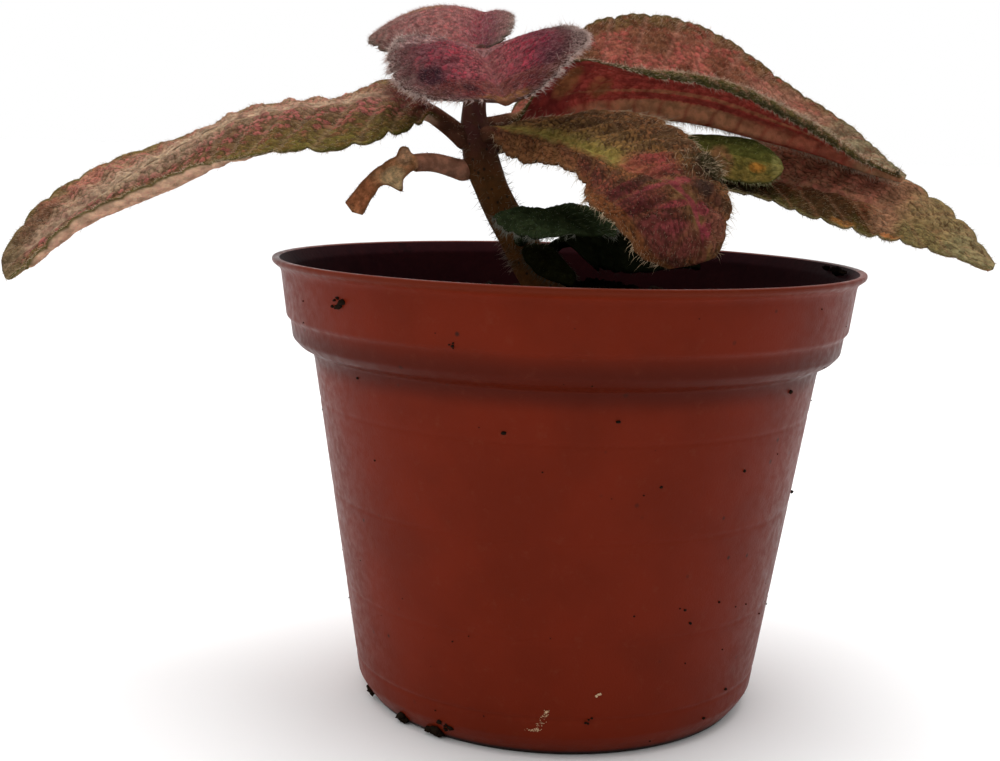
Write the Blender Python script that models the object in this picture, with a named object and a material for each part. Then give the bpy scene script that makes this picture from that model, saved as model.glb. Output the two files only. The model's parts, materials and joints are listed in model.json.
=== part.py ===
"""Flame violet growing in a round plastic nursery pot.

Lengths in this file are millimetres and angles are degrees. They become
metres and radians where a mesh is made. The origin is the middle of the
pot's base, +Z is up, +X is the way the leaves reach furthest, and -Y is the
side from which the stem and the front leaf show.
"""
import math
import random

import bmesh
import bpy
import numpy as np

MM = 0.001
GAP = 0.3                 # clearance between pieces that touch in the real plant

# Pot, a thin moulded one with a stepped collar
POT_HEIGHT = 90.5
RIM_RADIUS = 60.0
LIP_HEIGHT = 2.0
COLLAR_TOP_RADIUS = 58.2
COLLAR_BASE_RADIUS = 56.8
COLLAR_HEIGHT = 14.8
COLLAR_STEP_DROP = 11.6   # the fine step in the collar, below the lip
BODY_TOP_RADIUS = 51.4
BODY_TOP_DROP = 19.5      # where the straight wall starts, below the rim
BODY_FOOT_RADIUS = 41.6
FOOT_RADIUS = 38.6
FOOT_HEIGHT = 4.4
FOOT_RING_WIDTH = 4.2
HUB_RADIUS = 9.0
BASE_RECESS = 2.0
WALL = 1.3
DRAFT = 0.8               # how far the base's small steps slant outwards
DRAIN_HOLES = 6
DRAIN_HOLE_RADIUS = 2.4
DRAIN_HOLE_SIDES = 10
DRAIN_CIRCLE_RADIUS = 23.0
POT_SIDES = 32
POT_COLOUR = (0.36, 0.075, 0.035)

# Soil
SOIL_EDGE_HEIGHT = 80.0
SOIL_MOUND = 5.5          # rise of the heap round the stem
SOIL_MOUND_AT = (6.0, 4.0)
SOIL_MOUND_SPREAD = 17.0
SOIL_CRUMB = 0.9          # height of the loose crumbs
SOIL_SIDES = 32
SOIL_RINGS = 8

# Blades
BLADE_THICKNESS = 0.7
RIB_DEPTH = 0.5           # how far the midrib stands out below the blade
BLADE_FOOT = 0.05         # share of the blade over which the stalk flattens into it
MARGIN_BEND = 2.5         # how late a half turns from its inner to its outer slope
TOOTH_HOOK = 1.25
TOOTH_FULL_WIDTH = 8.0    # a half narrower than this has smaller teeth
VEIN_SLANT = 1.2          # teeth that a side vein runs ahead between midrib and margin
VEIN_START = 0.25
PLEAT_SINK = 0.35         # share of a pleat's height that lies below the blade's own face
PLEAT_FULL_WIDTH = 10.0   # a half narrower than this has lower pleats
CURL_START = 40.0         # a half that turns further than this is tight, so its pleats are lower
CURL_FULL = 90.0
CURL_CALM = 0.8
RINGS_PER_TOOTH = 3
HALF_BLADE = (0.0, 0.09, 0.36, 0.68, 1.0)   # shares of a half's width that carry points
HALF_SMALL_BLADE = (0.0, 0.14, 0.55, 1.0)
SMALL_BLADE_TEETH = 8     # a leaf with fewer teeth takes the small blade's points
FINE_STEPS = 60           # steps along a half's curve
MIDRIB_STEPS = 201        # steps along a midrib
LEAF_ROUGHNESS = 0.8

# The stem, from inside the soil to the crown: point and radius
STEM = [
    ((-1.2, 0.5, 68.0), 3.4),
    ((-2.4, 0.3, 77.0), 4.6),
    ((-4.2, 0.0, 84.3), 4.3),
    ((-7.8, 0.0, 90.5), 3.9),
    ((-12.0, 0.0, 97.4), 3.5),
    ((-15.6, 0.0, 104.0), 3.4),
    ((-18.0, 0.0, 109.8), 3.5),
    ((-19.2, 0.0, 114.6), 3.0),
    ((-19.7, 0.0, 119.0), 1.9),
    ((-19.4, 0.0, 125.0), 1.5),
    ((-18.9, 0.0, 130.6), 1.7),
    ((-18.7, 0.0, 133.2), 0.8),
]
STEM_SIDES = 12
STEM_COLOUR = (0.12, 0.075, 0.04)
ROOTS = 4
ROOT_START = 4.0          # above the stem's lower end
ROOT_LENGTH = 17.0
ROOT_FALL = 0.9           # how far a root drops, as a share of its reach
ROOT_SHARES = (0.0, 0.35, 0.7, 1.0)
ROOT_RADII = (1.9, 1.5, 1.0, 0.6)
ROOT_SIDES = 6

# Each leaf: its midrib from stem to tip, the share of it that is bare stalk,
# the way its left half points at the base and at the tip, and its blade.
# A blade row is: place along the blade, width of the left and of the right
# half, then the slope of the left half at the midrib and at the margin, and
# the same for the right half. A positive slope lifts the margin.
LEAVES = {
    "leaf_left": dict(
        midrib=[(-21.0, -0.6, 114.6), (-24.6, -1.6, 118.0), (-29.5, -3.4, 121.6), (-37.0, -6.0, 123.0),
                (-47.0, -8.0, 121.2), (-58.0, -9.0, 119.8), (-70.0, -9.0, 116.4), (-81.8, -9.0, 110.0),
                (-92.0, -9.0, 103.8), (-102.0, -9.0, 96.6), (-109.6, -9.0, 90.4), (-114.6, -9.0, 86.2)],
        stalk=0.07, stalk_radius=(2.0, 1.8), left=((0, -1, 0), (-0.1, -1, 0)),
        blade=[(0.00, 2.0, 2.0, -10, -10, 20, 20),
               (0.05, 9.0, 9.0, -20, -36, 16, 16),
               (0.14, 16.0, 16.5, -28, -40, 9, 9),
               (0.30, 19.0, 20.0, -28, -28, 3, 3),
               (0.42, 20.3, 20.5, -38, 4, 9, 8),
               (0.54, 19.2, 19.8, -48, 38, 10, 10),
               (0.66, 17.0, 18.6, -46, 42, 17, 18),
               (0.80, 13.4, 16.2, -40, 36, 28, 30),
               (0.91, 10.4, 11.4, -40, 22, 35, 34),
               (1.00, 3.6, 3.4, -20, 6, 22, 16)],
        teeth=15, tooth=1.7, pleat=1.0, colour=(0.33, 0.13, 0.09)),
    "leaf_right_upper": dict(
        midrib=[(-17.4, 1.4, 118.8), (-13.0, 4.6, 119.8), (-7.0, 9.0, 120.9), (1.5, 14.0, 122.3),
                (14.4, 20.0, 123.2), (27.7, 24.0, 122.0), (41.2, 27.0, 118.7), (55.1, 26.4, 115.1),
                (65.0, 22.6, 111.4), (71.0, 18.6, 109.4)],
        stalk=0.05, stalk_radius=(2.0, 2.2), left=((-0.5, 1, 0), (0.3, 1, 0)),
        blade=[(0.00, 2.2, 2.2, 20, 20, 24, 20),
               (0.06, 4.0, 8.6, 36, 46, 46, 42),
               (0.12, 8.6, 14.4, 46, 54, 48, 22),
               (0.19, 14.6, 16.2, 51, 56, 46, -8),
               (0.28, 21.0, 18.2, 54, 58, 40, -38),
               (0.40, 24.4, 19.8, 55, 57, 38, -46),
               (0.56, 22.6, 20.5, 50, 54, 36, -52),
               (0.73, 15.2, 17.0, 40, 46, 32, -50),
               (0.88, 8.6, 10.5, 30, 34, 22, -40),
               (1.00, 2.2, 2.2, 12, 12, 8, -10)],
        teeth=15, tooth=0.9, pleat=1.0, colour=(0.36, 0.12, 0.10)),
    "leaf_right_lower": dict(
        midrib=[(-16.4, 2.2, 114.3), (-13.0, 3.8, 114.9), (-7.0, 6.6, 115.2), (0.0, 9.6, 114.6),
                (6.2, 12.0, 113.2), (18.0, 15.5, 111.2), (31.0, 18.0, 109.6), (45.0, 18.0, 107.6),
                (57.5, 16.0, 105.6), (71.4, 13.5, 101.2), (80.5, 10.0, 96.6), (87.8, 6.0, 91.8)],
        stalk=0.22, stalk_radius=(1.5, 1.6), left=((-0.3, 1, 0), (0.4, 1, 0)),
        blade=[(0.00, 2.0, 2.0, 5, 5, -5, -5),
               (0.07, 9.0, 9.0, 10, 12, -8, -10),
               (0.20, 15.0, 16.0, 16, 18, -10, -12),
               (0.40, 18.5, 19.5, 24, 26, -9, -14),
               (0.60, 18.0, 18.5, 24, 28, -15, -24),
               (0.80, 13.0, 11.8, 22, 26, -19, -24),
               (0.92, 6.6, 7.2, 20, 22, -17, -20),
               (1.00, 2.4, 3.8, 10, 10, -10, -14)],
        teeth=14, tooth=1.6, pleat=1.0, colour=(0.24, 0.09, 0.07)),
    "leaf_front": dict(
        midrib=[(-17.0, -2.3, 116.6), (-13.6, -6.0, 117.2), (-9.0, -10.5, 116.8), (-4.8, -15.0, 116.0),
                (0.8, -22.0, 114.2), (7.8, -31.0, 111.8), (13.2, -38.0, 109.8), (18.0, -43.6, 107.8),
                (21.2, -47.0, 104.8), (22.6, -48.4, 100.6), (23.2, -47.9, 97.0), (23.2, -46.9, 94.6)],
        stalk=0.14, stalk_radius=(1.9, 1.7), left=((0.68, 0.73, 0), (0.84, 0.54, 0)),
        blade=[(0.00, 2.0, 2.0, 10, 10, -30, -20),
               (0.05, 7.0, 5.4, 22, 20, -46, -44),
               (0.12, 11.0, 6.6, 26, 22, -50, -46),
               (0.24, 14.8, 5.8, 26, 20, -46, -40),
               (0.42, 16.6, 6.6, 22, 12, -38, -32),
               (0.50, 16.4, 8.6, 20, 2, -32, -30),
               (0.58, 15.8, 12.0, 16, -12, -24, -26),
               (0.70, 14.4, 17.6, 12, -30, -10, -14),
               (0.82, 9.6, 18.6, 2, -24, -4, -6),
               (0.92, 6.0, 13.6, -4, -20, 0, -4),
               (1.00, 3.0, 7.0, 0, -10, 0, -4)],
        teeth=11, tooth=1.1, pleat=0.9, colour=(0.30, 0.11, 0.06)),
    "leaf_crown_front": dict(
        midrib=[(-18.3, -2.2, 131.6), (-18.1, -5.0, 132.0), (-17.2, -11.0, 130.2), (-15.6, -18.0, 127.4),
                (-13.6, -25.0, 124.2), (-12.0, -30.0, 121.8)],
        stalk=0.10, stalk_radius=(1.3, 1.2), left=((1, 0.1, 0), (1, 0.2, 0)),
        blade=[(0.00, 2.0, 2.0, 20, 20, 16, 16),
               (0.08, 13.6, 12.5, 25, 8, 16, 6),
               (0.25, 18.8, 18.0, 27, -3, 15, -12),
               (0.50, 18.6, 19.0, 27, -5, 9, -28),
               (0.75, 13.2, 15.6, 26, 4, 4, -30),
               (0.92, 7.5, 9.6, 18, 4, 0, -20),
               (1.00, 2.2, 3.0, 4, 0, 0, -10)],
        teeth=10, tooth=0.5, pleat=0.35, colour=(0.30, 0.05, 0.08)),
    "leaf_crown_back": dict(
        midrib=[(-19.4, 2.2, 131.8), (-19.8, 4.6, 133.0), (-20.2, 9.0, 136.0), (-20.2, 15.0, 139.2),
                (-20.0, 21.0, 141.6), (-19.8, 26.0, 142.4)],
        stalk=0.10, stalk_radius=(1.3, 1.2), left=((-1, -0.2, 0), (-1, 0, 0)),
        blade=[(0.00, 2.0, 2.0, 0, 0, 10, 10),
               (0.08, 14.0, 5.0, -4, -24, 20, 10),
               (0.25, 22.5, 6.6, 0, -34, 24, 0),
               (0.50, 20.6, 6.6, 8, -42, 20, -20),
               (0.75, 13.6, 6.0, 12, -38, 12, -30),
               (0.92, 8.0, 5.0, 8, -20, 6, -20),
               (1.00, 2.4, 2.4, 0, 0, 0, 0)],
        teeth=10, tooth=0.8, pleat=0.4, colour=(0.34, 0.07, 0.08)),
    "leaf_small_green": dict(
        midrib=[(-16.0, -0.6, 114.4), (-9.0, 0.2, 115.0), (4.0, 1.4, 115.2), (16.0, 2.4, 114.8),
                (26.2, 3.0, 114.4), (34.5, 3.0, 113.2), (43.0, 3.0, 111.4)],
        stalk=0.60, stalk_radius=(1.1, 0.9), left=((0, 1, 0), (0, 1, 0.2)),
        blade=[(0.00, 1.4, 1.4, 20, 20, -30, -30),
               (0.20, 5.4, 5.0, 18, 10, -44, -44),
               (0.50, 7.2, 6.4, 20, 8, -48, -48),
               (0.80, 7.0, 6.2, 20, 8, -44, -44),
               (0.94, 4.8, 4.8, 12, 4, -34, -36),
               (1.00, 3.0, 3.0, 4, 0, -20, -20)],
        teeth=6, tooth=0.5, pleat=0.4, colour=(0.08, 0.20, 0.04)),
    "leaf_low_front": dict(
        midrib=[(-9.9, -2.8, 95.4), (-8.0, -6.8, 98.8), (-5.4, -10.6, 101.4), (-2.0, -15.0, 101.4),
                (1.6, -20.0, 100.0), (4.4, -24.6, 97.8)],
        stalk=0.20, stalk_radius=(1.3, 1.2), left=((0.8, 0.6, 0), (0.8, 0.6, 0)),
        blade=[(0.00, 1.6, 1.6, 6, 6, 6, 6),
               (0.10, 7.5, 8.0, 8, -8, 6, -20),
               (0.35, 13.0, 13.0, 6, -26, 0, -40),
               (0.65, 12.0, 12.0, 0, -40, -6, -50),
               (0.88, 7.0, 7.5, -8, -40, -10, -46),
               (1.00, 2.0, 2.0, -6, -20, -6, -20)],
        teeth=7, tooth=0.8, pleat=0.5, colour=(0.02, 0.05, 0.02)),
    "leaf_low_hanging": dict(
        midrib=[(-8.2, -2.8, 92.6), (-6.2, -7.4, 94.2), (-3.8, -11.6, 93.2), (-1.4, -14.6, 90.6),
                (0.8, -16.6, 87.6)],
        stalk=0.20, stalk_radius=(1.0, 0.9), left=((0.8, 0.6, 0), (0.9, 0.4, 0)),
        blade=[(0.00, 1.2, 1.2, 6, 6, 6, 6),
               (0.18, 4.0, 4.0, -14, -30, -14, -30),
               (0.50, 5.0, 5.0, -24, -44, -24, -44),
               (0.80, 3.8, 3.8, -20, -40, -20, -40),
               (1.00, 1.3, 1.3, -6, -10, -6, -10)],
        teeth=4, tooth=0.5, pleat=0.3, colour=(0.06, 0.09, 0.03)),
    "leaf_low_back": dict(
        midrib=[(-4.6, 3.6, 92.6), (-0.8, 4.4, 95.4), (5.0, 4.4, 98.0), (12.0, 3.4, 98.2),
                (19.6, 2.0, 95.4), (27.0, 0.0, 90.4)],
        stalk=0.08, stalk_radius=(1.3, 1.2), left=((0, 1, 0), (0.2, 1, 0)),
        blade=[(0.00, 1.6, 1.6, 6, 6, -10, -10),
               (0.08, 7.0, 8.5, 12, 0, -30, -40),
               (0.35, 11.0, 12.5, 14, -4, -40, -50),
               (0.65, 10.5, 12.0, 10, -10, -40, -50),
               (0.88, 6.5, 7.0, 4, -16, -30, -40),
               (1.00, 2.0, 2.0, 0, -6, -10, -14)],
        teeth=7, tooth=0.8, pleat=0.5, colour=(0.015, 0.03, 0.015)),
    "cut_leaf_stalk": dict(
        midrib=[(-21.6, -1.6, 109.0), (-27.8, -4.0, 110.4), (-32.2, -6.0, 109.9), (-36.0, -8.0, 108.0),
                (-39.8, -9.2, 104.6), (-42.8, -10.2, 100.2)],
        stalk=0.38, stalk_radius=(2.0, 1.8), left=((0.1, -0.5, -0.9), (0.35, -0.4, -0.85)),
        blade=[(0.00, 2.0, 2.0, 10, 10, 10, 10),
               (0.12, 2.2, 3.2, 10, 10, 10, 20),
               (0.20, 2.6, 2.0, 0, 0, 10, 20),
               (0.30, 3.2, 1.8, 0, 0, 10, 20),
               (0.40, 5.0, 1.8, -10, -10, 10, 20),
               (0.50, 2.2, 1.8, -10, -20, 20, 30),
               (0.72, 1.8, 1.8, -10, -20, 20, 30),
               (1.00, 2.2, 2.2, -10, -20, 10, 10)],
        teeth=5, tooth=0.4, pleat=0.0, colour=(0.30, 0.13, 0.08)),
}


def curve_through(keys, rows, at):
    """Values at the places 'at' of a smooth curve through 'rows' at 'keys'."""
    keys, rows, at = np.asarray(keys, float), np.asarray(rows, float), np.asarray(at, float)
    slope = np.gradient(rows, keys, axis=0)
    low = np.clip(np.searchsorted(keys, at, side="right") - 1, 0, len(keys) - 2)
    span = (keys[low + 1] - keys[low])[:, None]
    f = (at - keys[low])[:, None] / span
    keep = (1 + 2 * f) * (1 - f) ** 2
    return (keep * rows[low] + (1 - keep) * rows[low + 1]
            + f * (1 - f) ** 2 * span * slope[low] - f ** 2 * (1 - f) * span * slope[low + 1])


def along(points, shares):
    """Points at shares of the length of a smooth line through 'points'."""
    points = np.asarray(points, float)
    keys = np.concatenate([[0], np.cumsum(np.linalg.norm(np.diff(points, axis=0), axis=1))])
    return curve_through(keys / keys[-1], points, shares)


def unit(vectors):
    return vectors / np.linalg.norm(vectors, axis=-1, keepdims=True)


def mesh_object(name, points, faces, colour, roughness):
    """A smooth-shaded object with its own material, from millimetre points."""
    mesh = bpy.data.meshes.new(name)
    mesh.from_pydata([tuple(p) for p in np.asarray(points) * MM], [], [tuple(map(int, f)) for f in faces])
    shaped = bmesh.new()
    shaped.from_mesh(mesh)
    bmesh.ops.recalc_face_normals(shaped, faces=shaped.faces)
    shaped.to_mesh(mesh)
    shaped.free()
    mesh.shade_smooth()
    mesh.set_sharp_from_angle(angle=math.radians(40))
    made = bpy.data.objects.new(name, mesh)
    bpy.context.scene.collection.objects.link(made)
    material = bpy.data.materials.new(name)
    material.use_nodes = True
    shader = material.node_tree.nodes["Principled BSDF"]
    shader.inputs["Base Color"].default_value = (*colour, 1.0)
    shader.inputs["Roughness"].default_value = roughness
    mesh.materials.append(material)
    return made


def ring_faces(rings, sides, upper=None):
    """Triangles that join rings of points into one closed skin.

    The two cap centres are expected after the last ring's points. From the
    side 'upper' on, the squares are split along their other diagonal, so that
    the two faces of a blade are split alike.
    """
    faces = []
    for r in range(rings - 1):
        for s in range(sides):
            a, b = r * sides + s, r * sides + (s + 1) % sides
            if upper is None or s < upper:
                faces += [(a, b, b + sides), (a, b + sides, a + sides)]
            else:
                faces += [(a, b, a + sides), (b, b + sides, a + sides)]
    first, last = rings * sides, rings * sides + 1
    end = (rings - 1) * sides
    for s in range(sides):
        faces.append((first, (s + 1) % sides, s))
        faces.append((last, end + s, end + (s + 1) % sides))
    return faces


def tube(name, points, radii, sides, colour, roughness):
    """A round tapering tube with rounded ends."""
    points, radii = np.asarray(points, float), np.asarray(radii, float)
    way = unit(np.gradient(points, axis=0))
    side = unit(np.cross(way, (0.0, 1.0, 0.0)))
    up = np.cross(side, way)
    turn = np.arange(sides) * 2 * math.pi / sides
    skin = (points[:, None] + radii[:, None, None]
            * (np.cos(turn)[None, :, None] * side[:, None] + np.sin(turn)[None, :, None] * up[:, None]))
    caps = [points[0] - way[0] * radii[0] * 0.3, points[-1] + way[-1] * radii[-1] * 0.6]
    return mesh_object(name, np.vstack([skin.reshape(-1, 3), caps]), ring_faces(len(points), sides),
                       colour, roughness)


def leaf_lines(midrib, left, shares):
    """Points on the midrib, the way it runs, and which way is left and up there."""
    spine = along(midrib, shares)
    fine = np.linspace(0, 1, MIDRIB_STEPS)
    run = np.gradient(along(midrib, fine), axis=0)
    way = unit(np.array([np.interp(shares, fine, run[:, k]) for k in range(3)]).T)
    hint = np.array(left[0])[None] * (1 - shares)[:, None] + np.array(left[1])[None] * shares[:, None]
    side = unit(hint - (hint * way).sum(1)[:, None] * way)
    return spine, way, side, np.cross(way, side)


def half_blade(way_out, up, width, slope_in, slope_out, q):
    """One half of each cross-section, at the shares q of its width.

    The half leaves the midrib at slope_in and reaches the margin at slope_out,
    turning mostly near the margin. Given back are its points, which way its
    upper face looks there, and which way is out along it.
    """
    fine = np.linspace(0, 1, FINE_STEPS + 1)
    middle = (fine[1:] + fine[:-1]) / 2
    bend = (slope_out - slope_in)[:, None]
    turn = np.radians(slope_in[:, None] + bend * middle[None, :] ** MARGIN_BEND)
    step = width[:, None] / FINE_STEPS
    run = np.pad(np.cumsum(np.cos(turn), axis=1), ((0, 0), (1, 0))) * step
    rise = np.pad(np.cumsum(np.sin(turn), axis=1), ((0, 0), (1, 0))) * step
    run = np.array([np.interp(q, fine, row) for row in run])
    rise = np.array([np.interp(q, fine, row) for row in rise])
    slope = np.radians(slope_in[:, None] + bend * q[None, :] ** MARGIN_BEND)
    points = run[..., None] * way_out[:, None] + rise[..., None] * up[:, None]
    facing = np.cos(slope)[..., None] * up[:, None] - np.sin(slope)[..., None] * way_out[:, None]
    outward = np.cos(slope)[..., None] * way_out[:, None] + np.sin(slope)[..., None] * up[:, None]
    return points, facing, outward


def toothed_edge(u, teeth, tooth, width):
    """How far the margin stands out: round teeth, hooked a little to the tip."""
    lobe = np.sqrt(np.abs(np.sin(math.pi * ((u * teeth) % 1.0) ** TOOTH_HOOK)))
    return tooth * (lobe - 0.5) * np.clip(width / TOOTH_FULL_WIDTH, 0, 1)


def pleats(u, q, teeth, pleat, width):
    """Height of the ridges between the side veins, which leave the midrib at a slant."""
    swell = np.sin(math.pi * q) ** 0.6 * (1 + 0.5 * np.cos(4 * math.pi * q))
    phase = u[:, None] * teeth - VEIN_SLANT * q[None, :] + VEIN_START
    ridge = np.sin(math.pi * phase) ** 2 - PLEAT_SINK
    return pleat * ridge * swell[None, :] * np.clip(width[:, None] / PLEAT_FULL_WIDTH, 0, 1)


def leaf(name, midrib, stalk, stalk_radius, left, blade, teeth, tooth, pleat, colour):
    """One leaf, stalk and blade in one skin, with a toothed and pleated blade."""
    shares = np.concatenate([np.linspace(0, stalk, 3 + int(stalk * 10), endpoint=False),
                             np.linspace(stalk, 1, teeth * RINGS_PER_TOOTH + 1)])
    spine, way, side, up = leaf_lines(midrib, left, shares)
    u = np.clip((shares - stalk) / (1 - stalk), 0, 1)
    table = np.array(blade, float)
    wide_left, wide_right, left_in, left_out, right_in, right_out = curve_through(
        table[:, 0], table[:, 1:], u).T
    q = np.array(HALF_BLADE if teeth >= SMALL_BLADE_TEETH else HALF_SMALL_BLADE)
    edge = toothed_edge(u, teeth, tooth, wide_left)[:, None] * q[None, :] ** 4
    lift = pleats(u, q, teeth, pleat, wide_left)
    halves = []
    for out, width, inner, outer in ((side, wide_left, left_in, left_out),
                                     (-side, wide_right, right_in, right_out)):
        points, facing, outward = half_blade(out, up, width, inner, outer, q)
        tight = np.clip((np.abs(outer - inner) - CURL_START) / (CURL_FULL - CURL_START), 0, 1)
        raised = lift * (1 - CURL_CALM * tight)[:, None]
        halves.append((points + outward * edge[..., None] + facing * raised[..., None], facing))
    top = np.concatenate([halves[0][0][:, ::-1], halves[1][0][:, 1:]], axis=1) + spine[:, None]
    facing = np.concatenate([halves[0][1][:, ::-1], halves[1][1][:, 1:]], axis=1)
    middle = len(q) - 1
    facing[:, middle] = up
    thick = np.full(top.shape[:2], BLADE_THICKNESS)
    thick[:, middle] += RIB_DEPTH + (stalk_radius[1] * 2 - BLADE_THICKNESS - RIB_DEPTH) * (1 - u) ** 1.5
    below = top - facing * thick[..., None]

    # The stalk is round, and flattens into the blade's foot
    radius = np.interp(shares, (0, stalk), stalk_radius)[:, None, None]
    across = top.shape[1]
    turn = (math.pi * (np.arange(across) + 0.5) / across)[None, :, None]
    centre = (spine - up * (stalk_radius[1] - BLADE_THICKNESS / 2))[:, None]
    round_side = centre + radius * np.cos(turn) * side[:, None]
    round_up = radius * np.sin(turn) * up[:, None]
    blend = np.clip(u / BLADE_FOOT, 0, 1)[:, None, None]
    blend = blend * blend * (3 - 2 * blend)
    top = (round_side + round_up) * (1 - blend) + top * blend
    below = (round_side - round_up) * (1 - blend) + below * blend

    skin = np.concatenate([top, below[:, ::-1]], axis=1)
    caps = [skin[0].mean(0), skin[-1].mean(0) + way[-1] * BLADE_THICKNESS]
    return mesh_object(name, np.vstack([skin.reshape(-1, 3), caps]),
                       ring_faces(len(shares), 2 * across, across), colour, LEAF_ROUGHNESS)


def pot_outside():
    """The pot's outer wall, from the lip down to the foot, as radius and height."""
    lip = POT_HEIGHT - LIP_HEIGHT
    step = POT_HEIGHT - COLLAR_STEP_DROP
    shoulder = POT_HEIGHT - LIP_HEIGHT - COLLAR_HEIGHT
    return [(RIM_RADIUS, POT_HEIGHT), (RIM_RADIUS, POT_HEIGHT - 0.9),
            (COLLAR_TOP_RADIUS + 0.3, lip), (COLLAR_TOP_RADIUS, lip - 0.8),
            (COLLAR_BASE_RADIUS + 0.3, step), (COLLAR_BASE_RADIUS - 0.5, step - 0.8),
            (COLLAR_BASE_RADIUS - 1.0, shoulder + 0.8), (COLLAR_BASE_RADIUS - 2.4, shoulder - 0.7),
            (BODY_TOP_RADIUS + 0.5, POT_HEIGHT - BODY_TOP_DROP + 0.8),
            (BODY_TOP_RADIUS, POT_HEIGHT - BODY_TOP_DROP - 1.0),
            (BODY_FOOT_RADIUS, FOOT_HEIGHT), (BODY_FOOT_RADIUS - 0.9, FOOT_HEIGHT - 1.6),
            (FOOT_RADIUS, 0.0)]


def pot_inside():
    """The pot's inner wall, from the foot up to the lip, as radius and height."""
    shoulder = POT_HEIGHT - LIP_HEIGHT - COLLAR_HEIGHT
    return [(BODY_FOOT_RADIUS - WALL - 2.6, BASE_RECESS + WALL), (BODY_FOOT_RADIUS - WALL, FOOT_HEIGHT + 2.0),
            (BODY_TOP_RADIUS - WALL, POT_HEIGHT - BODY_TOP_DROP - 1.0),
            (BODY_TOP_RADIUS - WALL + 0.7, shoulder + 0.5), (COLLAR_BASE_RADIUS - WALL - 1.0, shoulder + 2.2),
            (COLLAR_TOP_RADIUS - WALL, POT_HEIGHT - LIP_HEIGHT - 0.4), (RIM_RADIUS - WALL, POT_HEIGHT)]


def turned(name, profile, sides, colour, roughness):
    """A closed shape turned about Z. The profile starts and ends on the axis."""
    turn = np.arange(sides) * 2 * math.pi / sides
    around = np.stack([np.cos(turn), np.sin(turn)], axis=1)
    rings = [np.column_stack([around * r, np.full(sides, z)]) for r, z in profile[1:-1]]
    caps = [(0, 0, profile[0][1]), (0, 0, profile[-1][1])]
    return mesh_object(name, np.vstack(rings + [caps]), ring_faces(len(rings), sides), colour, roughness)


def settle(piece):
    """Apply a piece's modifiers."""
    shape = piece.evaluated_get(bpy.context.evaluated_depsgraph_get())
    settled = bpy.data.meshes.new_from_object(shape)
    piece.modifiers.clear()
    piece.data = settled


def cut(piece, cutter):
    """Take the cutter's shape out of a piece, then drop the cutter."""
    step = piece.modifiers.new("cut", "BOOLEAN")
    step.operation = "DIFFERENCE"
    step.object = cutter
    settle(piece)
    bpy.data.objects.remove(cutter)


def make_pot():
    """The pot, open at the top, with a foot ring, a hub and drain holes below."""
    ring_inner = FOOT_RADIUS - FOOT_RING_WIDTH
    base = [(ring_inner, 0.0), (ring_inner - DRAFT, BASE_RECESS),
            (HUB_RADIUS + DRAFT, BASE_RECESS), (HUB_RADIUS, 0.0)]
    floor = BASE_RECESS + WALL
    profile = [(0, floor)] + pot_inside() + pot_outside() + base + [(0, 0.0)]
    pot = turned("pot", profile, POT_SIDES, POT_COLOUR, 0.42)
    for hole in range(DRAIN_HOLES):
        turn = 2 * math.pi * (hole + 0.5) / DRAIN_HOLES
        x, y = DRAIN_CIRCLE_RADIUS * math.cos(turn), DRAIN_CIRCLE_RADIUS * math.sin(turn)
        line = [(x, y, z) for z in (BASE_RECESS - WALL, BASE_RECESS + WALL / 2, floor + WALL)]
        cut(pot, tube("drill", line, [DRAIN_HOLE_RADIUS] * 3, DRAIN_HOLE_SIDES, POT_COLOUR, 0.42))


def soil_top(x, y):
    """Height of the soil's surface, heaped round the stem and rough with crumbs."""
    away = math.hypot(x - SOIL_MOUND_AT[0], y - SOIL_MOUND_AT[1])
    heap = SOIL_MOUND * math.exp(-(away / SOIL_MOUND_SPREAD) ** 2)
    crumbs = (math.sin(0.61 * x + 0.9) * math.cos(0.53 * y) + math.sin(0.37 * x - 0.71 * y + 2.0)
              + 0.8 * math.sin(1.13 * y + 0.8 * x))
    return SOIL_EDGE_HEIGHT + heap + SOIL_CRUMB * 0.5 * crumbs


def make_soil():
    """The soil, which fills the pot to below its rim."""
    draw = random.Random(5)
    turn = np.arange(SOIL_SIDES) * 2 * math.pi / SOIL_SIDES
    around = np.stack([np.cos(turn), np.sin(turn)], axis=1)
    inside = [(r - GAP, z) for r, z in pot_inside()]
    foot, wall_low, wall_top, shoulder, collar_low, collar_top, _ = inside
    share = (SOIL_EDGE_HEIGHT - collar_low[1]) / (collar_top[1] - collar_low[1])
    edge_radius = collar_low[0] + share * (collar_top[0] - collar_low[0])
    rings = []
    for k in range(SOIL_RINGS):
        radius = edge_radius * (k + 0.6) / (SOIL_RINGS - 0.4)
        jolt = 0 if k == SOIL_RINGS - 1 else SOIL_CRUMB * 0.6
        rings.append([(x, y, soil_top(x, y) + jolt * draw.uniform(-1, 1)) for x, y in around * radius])
    walls = [collar_low, (shoulder[0], shoulder[1] + GAP), wall_top, wall_low,
             (foot[0] - GAP, foot[1] + GAP)]
    rings += [np.column_stack([around * r, np.full(SOIL_SIDES, z)]) for r, z in walls]
    caps = [(0, 0, soil_top(0, 0)), (0, 0, BASE_RECESS + WALL + GAP)]
    return mesh_object("potting_soil", np.vstack(rings + [caps]), ring_faces(len(rings), SOIL_SIDES),
                       (0.018, 0.013, 0.010), 0.95)


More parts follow.
